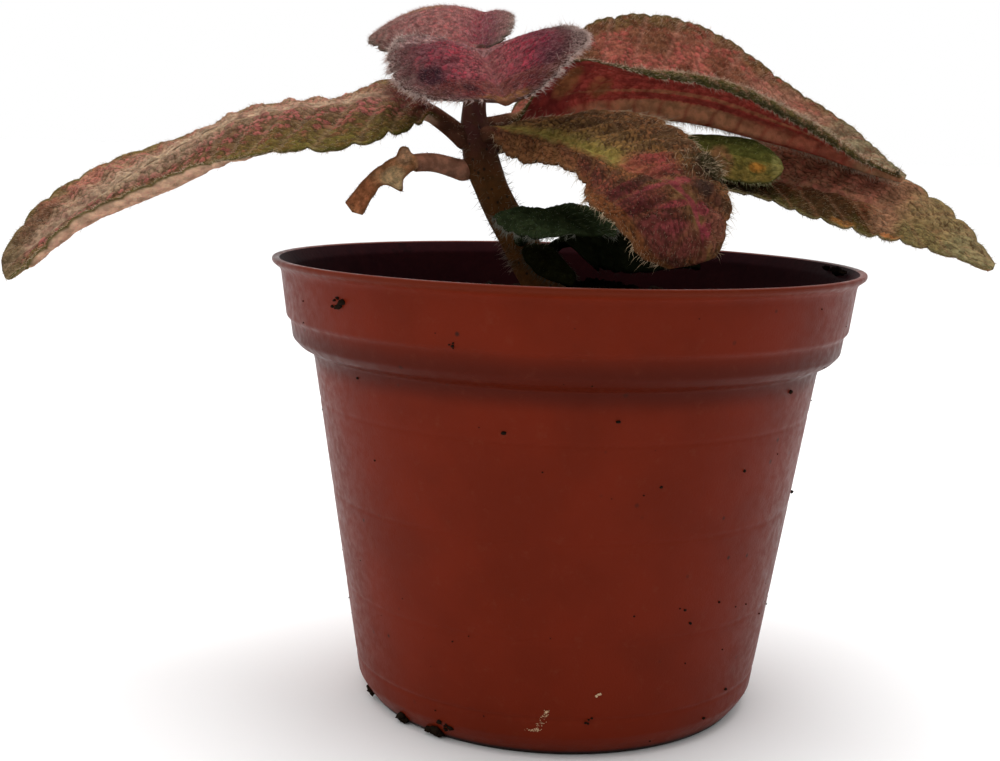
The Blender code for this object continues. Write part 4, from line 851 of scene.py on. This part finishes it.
def grow_hairs(name, surface, seed):
    """All the hairs of a leaf as one piece. The number 'pale' is 1 for pale ones, -1 for dark ones."""
    count, lengths, crowd, colour, edge, stands = HAIRS[name]
    columns = surface["top"].shape[1]
    draw = np.random.default_rng(seed)
    lots = [lying_hairs(surface, count, lengths, crowd, draw)]
    for column, style in zip((0, columns - 1, columns // 2), stands):
        lots.append(standing_hairs(surface, column, style, draw))
    for row in TUFTS.get(name, ()):
        lots.append(tuft(surface, *row, draw))
    faces, start = [], 0
    for points, lot_faces, _ in lots:
        faces += [[corner + start for corner in face] for face in lot_faces]
        start += len(points)
    return make_piece(name + "_hairs", np.vstack([lot[0] for lot in lots]), faces,
                      hair_material(name + "_hair", colour, edge),
                      dict(pale=np.concatenate([lot[2] for lot in lots])))


def rgba(colour):
    return (*(part / THOUSAND for part in colour), 1.0)


def fill(tree, socket, value):
    """Join a socket to another node's output, or give it a number or a colour."""
    if isinstance(value, bpy.types.NodeSocket):
        tree.links.new(value, socket)
    else:
        socket.default_value = rgba(value) if socket.type == "RGBA" else value


def add_node(tree, kind, inputs=None, **settings):
    """A new node with its settings made and its inputs filled."""
    made = tree.nodes.new("ShaderNode" + kind)
    for key, value in settings.items():
        setattr(made, key, value)
    for key, value in (inputs or {}).items():
        fill(tree, made.inputs[key], value)
    return made


class Look:
    """A material under construction: short calls that add and join its nodes."""

    def __init__(self, name, roughness, **sockets):
        self.material = bpy.data.materials.new(name)
        self.material.use_nodes = True
        self.tree = self.material.node_tree
        self.shader = self.tree.nodes["Principled BSDF"]
        self.shader.inputs["Roughness"].default_value = roughness
        for key, value in sockets.items():
            self.shader.inputs[key.replace("_", " ")].default_value = value

    def number(self, name):
        return add_node(self.tree, "Attribute", attribute_name=name).outputs["Fac"]

    def place(self):
        """Where the surface is, in the part's own frame, in metres."""
        return add_node(self.tree, "TexCoord").outputs["Object"]

    def height(self):
        return add_node(self.tree, "SeparateXYZ", {0: self.place()}).outputs["Z"]

    def math(self, operation, *values):
        return add_node(self.tree, "Math", dict(enumerate(values)), operation=operation).outputs[0]

    def noise(self, scale, detail=2.0, rough=0.5):
        """Soft noise from 0 to 1, with 'scale' waves a millimetre."""
        inputs = {"Vector": self.place(), "Scale": scale / MM, "Detail": detail, "Roughness": rough}
        return add_node(self.tree, "TexNoise", inputs).outputs["Fac"]

    def spots(self, scale):
        """Distance to the nearest of scattered points, 'scale' of them a millimetre."""
        inputs = {"Vector": self.place(), "Scale": scale / MM}
        return add_node(self.tree, "TexVoronoi", inputs).outputs["Distance"]

    def band(self, value, low, high, start=0.0, end=1.0):
        """start below low, end above high, and a smooth way between."""
        inputs = dict(enumerate((value, low, high, start, end)))
        return add_node(self.tree, "MapRange", inputs, interpolation_type="SMOOTHSTEP").outputs[0]

    def ramp(self, value, stops):
        made = add_node(self.tree, "ValToRGB", {0: value})
        elements = made.color_ramp.elements
        while len(elements) < len(stops):
            elements.new(0.5)
        for element, (at, colour) in zip(elements, stops):
            element.position = at
            element.color = rgba(colour)
        return made.outputs["Color"]

    def mix(self, share, a, b, blend="MIX"):
        inputs = {0: share, 6: a, 7: b}
        return add_node(self.tree, "Mix", inputs, data_type="RGBA", blend_type=blend).outputs[2]

    def shaded(self, colour, shade):
        """The colour, lighter or darker by a number."""
        return self.mix(1.0, colour, shade, "MULTIPLY")

    def finish(self, colour, bump=None, depth=0.0, roughness=None):
        """The material, with fine bumps that are 'depth' millimetres high."""
        fill(self.tree, self.shader.inputs["Base Color"], colour)
        if roughness is not None:
            fill(self.tree, self.shader.inputs["Roughness"], roughness)
        if bump is not None:
            made = add_node(self.tree, "Bump", {"Distance": depth * MM, "Height": bump})
            fill(self.tree, self.shader.inputs["Normal"], made.outputs[0])
        return self.material


def leaf_material(name, left, right, groove, veins, rim, under, net, patches, under_patches=(),
                  stalk=(85, 34, 20)):
    """Velvety leaf: colours by the place on the blade, coloured bumps, veins and speckles."""
    look = Look(name, 0.75, Specular_IOR_Level=0.0, Subsurface_Weight=0.10, Subsurface_Scale=0.0006)
    across, place = look.number("across"), look.number("place")
    cell, tone, upper = look.number("cell"), look.number("tone"), look.number("upper")
    waver = look.math("MULTIPLY_ADD", look.noise(0.22, 3.0), 0.30, -0.15)
    near = look.math("ADD", look.math("ABSOLUTE", across), waver)
    on_left = look.band(across, -0.02, 0.02)

    def along_half(pick):
        """A colour that runs from midrib to margin by the stops of each half."""
        ramps = [look.ramp(near, [(stop[0] * PERCENT, pick(stop)) for stop in half])
                 for half in (right, left)]
        return look.mix(on_left, *ramps)

    def tinted(colour, patches):
        for at, side, reach_along, reach_across, tint, strength in patches:
            reach = look.math("MULTIPLY", waver, 5.0)
            for value, middle, span in ((place, at, reach_along), (across, side, reach_across)):
                away = look.math("DIVIDE", look.math("SUBTRACT", value, middle * PERCENT), span * PERCENT)
                reach = look.math("ADD", reach, look.math("POWER", away, 2.0))
            colour = look.mix(look.band(reach, 0.3, 1.5, strength * PERCENT, 0.0), colour, tint)
        return colour

    ground, bump = along_half(lambda stop: stop[1]), along_half(lambda stop: stop[2])
    share = along_half(lambda stop: (stop[3] * PERCENT * THOUSAND,) * 3)
    chosen = look.band(look.math("SUBTRACT", share, tone), -0.08, 0.08)
    colour = look.mix(look.math("MULTIPLY", chosen, look.band(cell, 0.1, 0.6)), ground, bump)
    colour = tinted(colour, patches)
    line = look.math("MULTIPLY", look.math("POWER", look.number("vein"), 14.0), veins[1] * PERCENT)
    colour = look.mix(line, colour, veins[0])
    colour = look.shaded(colour, look.band(look.noise(0.8, 4.0, 0.65), 0.32, 0.68, 0.64, 1.38))
    colour = look.shaded(colour, look.band(tone, 0.0, 1.0, 0.80, 1.22))
    # Grooves between the bumps take the groove colour: partly the leaf's own, partly painted shade in the
    # hollows.
    colour = look.mix(look.band(cell, 0.0, 0.40, 0.80, 0.0), colour, groove)
    edge = look.band(look.number("rim"), 0.1, 0.7, 0.85, 0.0)
    colour = look.mix(edge, colour, rim)
    below = tinted(look.mix(look.band(cell, 0.0, 0.5, 0.8, 0.0), under, net), under_patches)
    below = look.mix(look.math("MULTIPLY", line, 1.5), below, net)
    below = look.mix(edge, below, rim)
    below = look.shaded(below, look.band(look.noise(0.5, 3.0), 0.3, 0.7, 0.72, 1.30))
    colour = look.mix(upper, below, colour)
    bare = look.shaded(stalk, look.band(look.noise(0.5, 3.0), 0.35, 0.65, 0.62, 1.15))
    colour = look.mix(look.band(place, -0.02, 0.03), bare, colour)
    return look.finish(colour, look.noise(3.0, 3.0, 0.6), 0.22)


def hair_material(name, colour, edge):
    """Hairs of one colour, another where they are pale, and a third in dark tufts."""
    look = Look(name, 0.6, Specular_IOR_Level=0.05)
    pale = look.number("pale")
    tint = look.mix(look.band(pale, -0.9, -0.1, 1.0, 0.0), look.mix(pale, colour, edge), TUFT_COLOUR)
    return look.finish(look.shaded(tint, look.band(look.noise(0.4, 1.0), 0.2, 0.8, 0.8, 1.25)))


def make_leaves():
    """Every leaf with its hairs, in place of the frame's plain ones."""
    for number, (name, shape) in enumerate(LEAVES.items()):
        surface = leaf_surface(name, shape, LEAF_SEED + 10 * number)
        blade = leaf_mesh(name + "_fine", surface, leaf_material(name + "_skin", **LOOKS[name]))
        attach(blade, "root")
        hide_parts(name)
        hairs = grow_hairs(name, surface, HAIR_SEED + number)
        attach(hairs, "root")


def pot_outside():
    """The pot's outer wall, from the lip down to the foot, as radius and height."""
    lip = POT_HEIGHT - LIP_HEIGHT
    step = POT_HEIGHT - COLLAR_STEP_DROP
    shoulder = lip - COLLAR_HEIGHT
    body = POT_HEIGHT - BODY_TOP_DROP
    return [(RIM_RADIUS, POT_HEIGHT), (RIM_RADIUS, POT_HEIGHT - 0.9),
            (COLLAR_TOP_RADIUS + 0.3, lip), (COLLAR_TOP_RADIUS, lip - 0.8),
            (COLLAR_BASE_RADIUS + 0.3, step), (COLLAR_BASE_RADIUS - 0.5, step - 0.8),
            (COLLAR_BASE_RADIUS - 1.0, shoulder + 0.8), (COLLAR_BASE_RADIUS - 2.4, shoulder - 0.7),
            (BODY_TOP_RADIUS + 0.5, body + 0.8), (BODY_TOP_RADIUS, body - 1.0),
            (BODY_FOOT_RADIUS, FOOT_HEIGHT), (BODY_FOOT_RADIUS - 0.9, FOOT_HEIGHT - 1.6),
            (FOOT_RADIUS, 0.0)]


def pot_inside():
    """The pot's inner wall, from the foot up to the lip, as radius and height."""
    shoulder = POT_HEIGHT - LIP_HEIGHT - COLLAR_HEIGHT
    return [(BODY_FOOT_RADIUS - WALL - 2.6, BASE_RECESS + WALL),
            (BODY_FOOT_RADIUS - WALL, FOOT_HEIGHT + 2.0),
            (BODY_TOP_RADIUS - WALL, POT_HEIGHT - BODY_TOP_DROP - 1.0),
            (BODY_TOP_RADIUS - WALL + 0.7, shoulder + 0.5),
            (COLLAR_BASE_RADIUS - WALL - 1.0, shoulder + 2.2),
            (COLLAR_TOP_RADIUS - WALL, POT_HEIGHT - LIP_HEIGHT - 0.4), (RIM_RADIUS - WALL, POT_HEIGHT)]


def eased(profile, reach):
    """A profile with each corner eased over 'reach' millimetres by a short arc."""
    points = [np.array(p, float) for p in profile]
    out = [points[0]]
    for before, at, after in zip(points, points[1:], points[2:]):
        come, go = before - at, after - at
        a = at + come * min(reach / np.linalg.norm(come), 0.45)
        b = at + go * min(reach / np.linalg.norm(go), 0.45)
        out += [a * (1 - f) ** 2 + 2 * at * f * (1 - f) + b * f ** 2 for f in (0.0, 0.25, 0.5, 0.75, 1.0)]
    return out + [points[-1]]


def lined_wall(profile):
    """The outside with its faint moulding lines and the groove above the foot added."""
    top, foot = profile[-4], profile[-3]
    grooves = [(height, WALL_LINE_DEPTH) for height in WALL_LINES]
    grooves.append((FOOT_GROOVE_HEIGHT, FOOT_GROOVE_DEPTH))
    lines = []
    for height, depth in grooves:
        for step, sunk in ((LINE_HALF_WIDTH, 0.0), (0.0, depth), (-LINE_HALF_WIDTH, 0.0)):
            share = (top[1] - height - step) / (top[1] - foot[1])
            lines.append((top[0] + share * (foot[0] - top[0]) - sunk, height + step))
    return profile[:-3] + lines + profile[-3:]


def turned(profile, sides):
    """The rings of a profile turned about Z."""
    around = circle(sides)[0]
    return [np.column_stack([around * r, np.full(sides, z)]) for r, z in profile]


def pot_material():
    """Moulded plastic with a lip tinted more orange as a painted highlight, pale dusty blotches, a dark
    band of painted shade under the collar, a dark foot line of soil and painted contact shadow, and fine
    specks.
    """
    look = Look("pot_plastic", 0.42, Specular_IOR_Level=0.06)
    height = look.height()
    highlight_start, highlight_end, foot_line_start, foot_line_end, *collar_shade = [
        z * MM for z in LIP_HIGHLIGHT + FOOT_SOIL_AND_SHADOW + UNDER_COLLAR]
    colour = look.mix(look.band(look.noise(0.06, 3.0), 0.3, 0.7), (112, 10.2, 1.8), (134, 12.2, 2.4))
    # Above these heights the lip turns more orange: a painted highlight of the top-lit rim.
    colour = look.mix(look.band(height, highlight_start, highlight_end, 0.0, 0.85), colour, (105, 13, 3.4))
    # A dark line along the foot's bottom edge: soil and a painted contact shadow.
    colour = look.mix(look.band(height, foot_line_start, foot_line_end, 0.95, 0.0), colour, (8, 5, 3))
    # A darker band under the collar: painted shade.
    shade = look.math("MULTIPLY", look.band(height, *collar_shade[:2]), look.band(height, *collar_shade[2:], 1.0, 0.0))
    colour = look.mix(look.math("MULTIPLY", shade, 0.7), colour, (45, 5, 1.8))
    colour = look.mix(look.band(look.noise(0.35, 5.0, 0.7), 0.55, 0.80, 0.0, 0.25), colour, (150, 40, 20))
    speck = look.math("MULTIPLY", look.band(look.spots(0.16), 0.03, 0.10, 1.0, 0.0),
                      look.band(look.noise(0.05, 2.0), 0.45, 0.65))
    colour = look.mix(look.math("MULTIPLY", speck, 0.8), colour, (14, 8, 5))
    rough = look.band(look.noise(0.5, 4.0, 0.6), 0.3, 0.7, 0.34, 0.50)
    return look.finish(colour, look.noise(2.5, 2.0), 0.03, rough)


def pot_inside_material():
    """The same plastic inside the pot, darkened by stains of wet soil and by painted shade."""
    look = Look("pot_plastic_stain_and_shade", 0.6, Specular_IOR_Level=0.01)
    # Near-black inside: stains of wet soil and painted shade.
    stain_and_shade = look.ramp(look.noise(0.12, 5.0, 0.7), [(0.35, (16, 3.8, 5.2)), (0.60, (23, 5, 6.2)),
                                                     (0.75, (7, 3.2, 3.4))])
    return look.finish(stain_and_shade, look.noise(0.8, 4.0), 0.1)


def drill(piece, centres, radius, low, high):
    """Round holes through a piece along Z."""
    group = bpy.data.collections.new("drills")
    for x, y in centres:
        around = circle(DRAIN_HOLE_SIDES)[0] * radius + (x, y)
        rings = [np.column_stack([around, np.full(DRAIN_HOLE_SIDES, z)]) for z in (low, high)]
        bit = ringed("drill", rings, [(x, y, low), (x, y, high)], piece.data.materials[0])
        bpy.context.scene.collection.objects.unlink(bit)
        group.objects.link(bit)
    step = piece.modifiers.new("drill", "BOOLEAN")
    step.operation = "DIFFERENCE"
    step.operand_type = "COLLECTION"
    step.collection = group
    shape = piece.evaluated_get(bpy.context.evaluated_depsgraph_get())
    drilled = bpy.data.meshes.new_from_object(shape)
    piece.modifiers.clear()
    piece.data = drilled
    for bit in list(group.objects):
        bpy.data.objects.remove(bit)
    bpy.data.collections.remove(group)


def make_pot():
    """The pot, darkened inside by soil stains and painted shade, with its recessed base and its drain
    holes.
    """
    ring_inner = FOOT_RADIUS - FOOT_RING_WIDTH
    base = [(ring_inner, 0.0), (ring_inner - DRAFT, BASE_RECESS),
            (HUB_RADIUS + DRAFT, BASE_RECESS), (HUB_RADIUS, 0.0)]
    floor = BASE_RECESS + WALL
    wall = eased(pot_inside() + lined_wall(pot_outside()) + base, CORNER_EASE)
    pot = ringed("pot_fine", turned(wall, POT_SIDES), [(0, 0, floor), (0, 0, 0)], pot_material())
    pot.data.materials.append(pot_inside_material())
    lip = int(np.argmax([z for _, z in wall])) - 2
    for face in pot.data.polygons:
        if max(face.vertices) < lip * POT_SIDES:
            face.material_index = 1
    turns = [2 * math.pi * (hole + 0.5) / DRAIN_HOLES for hole in range(DRAIN_HOLES)]
    centres = [(DRAIN_CIRCLE_RADIUS * math.cos(turn), DRAIN_CIRCLE_RADIUS * math.sin(turn))
               for turn in turns]
    drill(pot, centres, DRAIN_HOLE_RADIUS, BASE_RECESS - WALL, floor + WALL)
    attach(pot, "root")
    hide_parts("pot")


def crumbs(centres, sizes, flatness, draw):
    """Points and faces of small lumps, each a rough icosahedron."""
    golden = (1 + math.sqrt(5)) / 2
    pairs = list(itertools.product((-1, 1), (-golden, golden)))
    corners = unit(np.array([(a, b, 0) for a, b in pairs] + [(0, a, b) for a, b in pairs]
                            + [(b, 0, a) for a, b in pairs]))
    faces = []
    for i, j, k in itertools.combinations(range(12), 3):
        a, b, c = corners[[i, j, k]]
        if max(np.linalg.norm(a - b), np.linalg.norm(b - c), np.linalg.norm(a - c)) < LONGEST_SIDE:
            faces.append((i, j, k) if np.dot(np.cross(b - a, c - a), a) > 0 else (i, k, j))
    points = corners[None] * draw.uniform(*CRUMB_LUMPS, (len(centres), 12, 1))
    points = points * sizes[:, None, None] * (1, 1, flatness) + centres[:, None]
    start = (np.arange(len(centres)) * 12)[:, None]
    return points.reshape(-1, 3), np.vstack([start + np.array(face) for face in faces]).tolist()


def stuck_crumbs(name, places, colours, draw):
    """Crumbs on the pot's outside, each given by its turn, its height and its size."""
    outside = pot_outside()[::-1]
    turn, height, size = np.array(places).T
    height = np.maximum(height, size * 0.9)
    radius = np.interp(height, [z for _, z in outside], [r for r, _ in outside]) + size * 0.3
    turn = np.radians(turn)
    centres = np.column_stack([radius * np.cos(turn), radius * np.sin(turn), height])
    points, faces = crumbs(centres, size, 0.8, draw)
    look = Look(name + "_grit", 0.95, Specular_IOR_Level=0.0)
    colour = look.mix(look.noise(0.8, 2.0), *colours)
    dirt = make_piece(name, points, faces, look.finish(colour))
    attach(dirt, "root")


def make_dirt():
    """Crumbs and specks of soil on the outside of the pot, and a pale scrape."""
    draw = np.random.default_rng(DIRT_SEED)
    places = []
    for turn, height, size, count in CLUMPS:
        for _ in range(count):
            places.append((turn + draw.normal(0, size * 0.6), height + draw.normal(0, size * 0.4),
                           size * draw.uniform(0.2, 0.5)))
    places += [(turn, height, SPECK_SIZE * draw.uniform(0.7, 1.2)) for turn, height in SPECKS]
    for _ in range(FINE_SPECKS):
        turn = draw.uniform(0, 360)
        if draw.uniform() < HIGH_SPECKS:
            height = math.sqrt(draw.uniform(2, HIGHEST_SPECK) * HIGHEST_SPECK)
        else:
            height = draw.uniform(1, 30)
        places.append((turn, height, draw.uniform(*FINE_SPECK_SIZES)))
    stuck_crumbs("pot_dirt", places, DIRT_COLOURS, draw)
    pale = list(PALE_CRUMBS)
    for turn, height, last_turn, last_height, count in SCRAPES:
        for share in draw.uniform(0, 1, count):
            pale.append((turn + share * (last_turn - turn) + draw.normal(0, SCRAPE_SPREAD),
                         height + share * (last_height - height) + draw.normal(0, SCRAPE_SPREAD / 3),
                         draw.uniform(*SCRAPE_SIZES)))
    stuck_crumbs("pot_scrape", pale, SCRAPE_COLOURS, draw)


def soil_height(x, y):
    """Height of the soil's surface, heaped round the stem and rough with crumbs."""
    away = np.hypot(x - SOIL_MOUND_AT[0], y - SOIL_MOUND_AT[1])
    heap = SOIL_MOUND * np.exp(-(away / SOIL_MOUND_SPREAD) ** 2)
    waves = (np.sin(0.61 * x + 0.9) * np.cos(0.53 * y) + np.sin(0.37 * x - 0.71 * y + 2.0)
             + 0.8 * np.sin(1.13 * y + 0.8 * x))
    return SOIL_EDGE_HEIGHT + heap + SOIL_CRUMB * 0.5 * waves


def make_soil():
    """Soil with a crumbly surface, and loose crumbs lying on it and at the rim."""
    draw = np.random.default_rng(SOIL_SEED)
    look = Look("soil_crumbs", 0.95, Specular_IOR_Level=0.0)
    colour = look.ramp(look.noise(1.2, 5.0, 0.7), [(0.30, (4, 3, 2.5)), (0.55, (12, 8, 6)),
                                                   (0.72, (34, 21, 13))])
    material = look.finish(colour, look.noise(3.0, 4.0, 0.7), 0.5)
    around = circle(SOIL_SIDES)[0]
    foot, wall_low, wall_top, shoulder, collar_low, collar_top, _ = [(r - GAP, z) for r, z in pot_inside()]
    share = (SOIL_EDGE_HEIGHT - collar_low[1]) / (collar_top[1] - collar_low[1])
    edge_radius = collar_low[0] + share * (collar_top[0] - collar_low[0])
    rings = []
    for k in range(SOIL_RINGS):
        at = around * edge_radius * (k + 0.6) / (SOIL_RINGS - 0.4)
        rough = draw.normal(0, SOIL_ROUGHNESS, SOIL_SIDES) * (k < SOIL_RINGS - 1)
        rings.append(np.column_stack([at, soil_height(at[:, 0], at[:, 1]) + rough]))
    walls = [collar_low, (shoulder[0], shoulder[1] + GAP), wall_top, wall_low,
             (foot[0] - GAP, foot[1] + GAP)]
    caps = [(0, 0, float(soil_height(0.0, 0.0))), (0, 0, BASE_RECESS + WALL + GAP)]
    soil = ringed("soil_fine", rings + turned(walls, SOIL_SIDES), caps, material)
    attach(soil, "root")
    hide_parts("potting_soil")

    turn = draw.uniform(0, 2 * math.pi, SOIL_CRUMBS)
    away = (edge_radius - 1.5) * np.sqrt(draw.uniform(0.02, 1, SOIL_CRUMBS))
    x, y = away * np.cos(turn), away * np.sin(turn)
    sizes = draw.uniform(*CRUMB_SIZES, SOIL_CRUMBS)
    lying = np.column_stack([x, y, soil_height(x, y) + sizes * 0.3])
    turn, away, rim_sizes = np.array(RIM_CRUMBS).T
    turn = np.radians(turn)
    at_rim = np.column_stack([away * np.cos(turn), away * np.sin(turn),
                              np.full(len(away), POT_HEIGHT - RIM_CRUMB_DROP)])
    points, faces = crumbs(np.vstack([lying, at_rim]), np.append(sizes, rim_sizes), 0.7, draw)
    loose = make_piece("soil_loose_crumbs", points, faces, material)
    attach(loose, "root")


def stem_material():
    """Olive brown bark with dark dots, purple near its top."""
    look = Look("stem_skin", 0.6, Specular_IOR_Level=0.05, Subsurface_Weight=0.1, Subsurface_Scale=0.001)
    low, high = STEM_PURPLE
    colour = look.mix(look.band(look.height(), low * MM, high * MM), (120, 46, 11), (62, 18, 15))
    colour = look.mix(look.band(look.noise(0.5, 4.0, 0.6), 0.35, 0.7, 0.0, 0.7), colour, (60, 26, 8))
    colour = look.mix(look.band(look.spots(0.5), 0.10, 0.22, 0.9, 0.0), colour, (12, 8, 6))
    return look.finish(colour, look.noise(1.5, 4.0, 0.6), 0.3)


def make_stem():
    """The stem with its ridged skin, and the hairs that stand on it."""
    shares = np.linspace(0, 1, STEM_RINGS)
    table = np.array([(*point, radius) for point, radius in STEM])
    table = curve_through(np.linspace(0, 1, len(STEM)), table, shares)
    line, thick = table[:, :3], table[:, 3]
    way = unit(np.gradient(line, axis=0))
    side = unit(np.cross(way, (0.0, 1.0, 0.0)))
    up = np.cross(side, way)
    turn = circle(STEM_SIDES)[1][None, :]
    ridge = (1 + 0.035 * np.sin(5 * turn + 6 * shares[:, None])
             + 0.02 * np.sin(9 * turn - 40 * shares[:, None]))
    turn = turn[..., None]
    around = np.cos(turn) * side[:, None] + np.sin(turn) * up[:, None]
    skin = line[:, None] + (thick[:, None] * ridge)[..., None] * around
    caps = [line[0] - way[0], line[-1] + way[-1] * thick[-1] * 0.6]
    stem = ringed("stem_fine", skin, caps, stem_material())
    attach(stem, "root")
    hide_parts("stem")

    draw = np.random.default_rng(STEM_SEED)
    take = STEM_HAIRS
    r = np.minimum(STEM_HAIR_START + draw.exponential(STEM_HAIR_FALL, take), STEM_RINGS - 2).astype(int)
    s = draw.integers(0, STEM_SIDES, take)
    out = unit(skin[r, s] - line[r])
    lengths = draw.uniform(0.8, 2.2, take)[:, None]
    ways = unit(out + draw.normal(0, 0.35, (take, 3)) + (0, 0, -0.15)) * lengths
    bends = draw.normal(0, 0.3, (take, 3)) * lengths
    points, faces = spikes(skin[r, s] - out * 0.1, ways, draw.uniform(0.03, 0.05, take), bends)
    material = hair_material("stem_hair", STEM_HAIR_COLOUR, STEM_HAIR_COLOUR)
    hairs = make_piece("stem_hairs", points, faces, material)
    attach(hairs, "root")


def make_studio():
    """White floor and surroundings, with soft light that is weaker from the front."""
    mesh = bpy.data.meshes.new("floor")
    reach = FLOOR_REACH
    mesh.from_pydata([(-reach, -reach, 0), (reach, -reach, 0), (reach, reach, 0), (-reach, reach, 0)], [],
                     [(0, 1, 2, 3)])
    floor = bpy.data.objects.new("floor", mesh)
    bpy.context.scene.collection.objects.link(floor)
    mesh.materials.append(Look("floor_white", 0.9, Specular_IOR_Level=0.0).finish(FLOOR_COLOUR))

    world = bpy.data.worlds.new("white_studio")
    world.use_nodes = True
    bpy.context.scene.world = world
    tree = world.node_tree
    place = add_node(tree, "TexCoord").outputs["Generated"]
    slant = add_node(tree, "VectorMath", {0: place, 1: WORLD_SLANT}, operation="DOT_PRODUCT")
    level = add_node(tree, "MapRange", dict(enumerate((slant.outputs["Value"], *WORLD_LEVELS))))
    seen = add_node(tree, "LightPath").outputs["Is Camera Ray"]
    strength = add_node(tree, "Mix", {0: seen, 2: level.outputs[0], 3: 1.0})
    shine = tree.nodes["Background"]
    shine.inputs["Color"].default_value = (1, 1, 1, 1)
    fill(tree, shine.inputs["Strength"], strength.outputs[0])

    for name, at, size, power in LAMPS:
        lamp = bpy.data.lights.new(name, "AREA")
        lamp.size = size
        lamp.energy = power
        made = bpy.data.objects.new(name, lamp)
        made.location = at
        made.rotation_mode = "QUATERNION"
        made.rotation_quaternion = (Vector(at) - Vector(LAMP_TARGET)).to_track_quat("Z", "Y")
        bpy.context.scene.collection.objects.link(made)
    bpy.context.scene.view_settings.view_transform = "Standard"


def make_camera():
    """The photograph's view."""
    yaw, pitch, roll = CAMERA_YAW, CAMERA_PITCH, CAMERA_ROLL
    ahead = Vector((math.sin(yaw) * math.cos(pitch), math.cos(yaw) * math.cos(pitch), math.sin(pitch)))
    right = Vector((math.cos(yaw), -math.sin(yaw), 0))
    up = right.cross(ahead)
    tilted_right = math.cos(roll) * right + math.sin(roll) * up
    tilted_up = -math.sin(roll) * right + math.cos(roll) * up
    data = bpy.data.cameras.new("camera")
    data.sensor_fit = "HORIZONTAL"
    data.sensor_width = SENSOR_WIDTH
    data.lens = FOCAL_PIXELS / PICTURE_WIDTH * SENSOR_WIDTH
    data.clip_start = 0.01
    made = bpy.data.objects.new("camera", data)
    turn = Matrix((tilted_right, tilted_up, -ahead)).transposed().to_4x4()
    made.matrix_world = Matrix.Translation(Vector(CAMERA_AT) * MM) @ turn
    bpy.context.scene.collection.objects.link(made)
    bpy.context.scene.camera = made


make_camera()
make_pot()
make_dirt()
make_soil()
make_stem()
make_leaves()
make_studio()

bpy.context.view_layer.update()
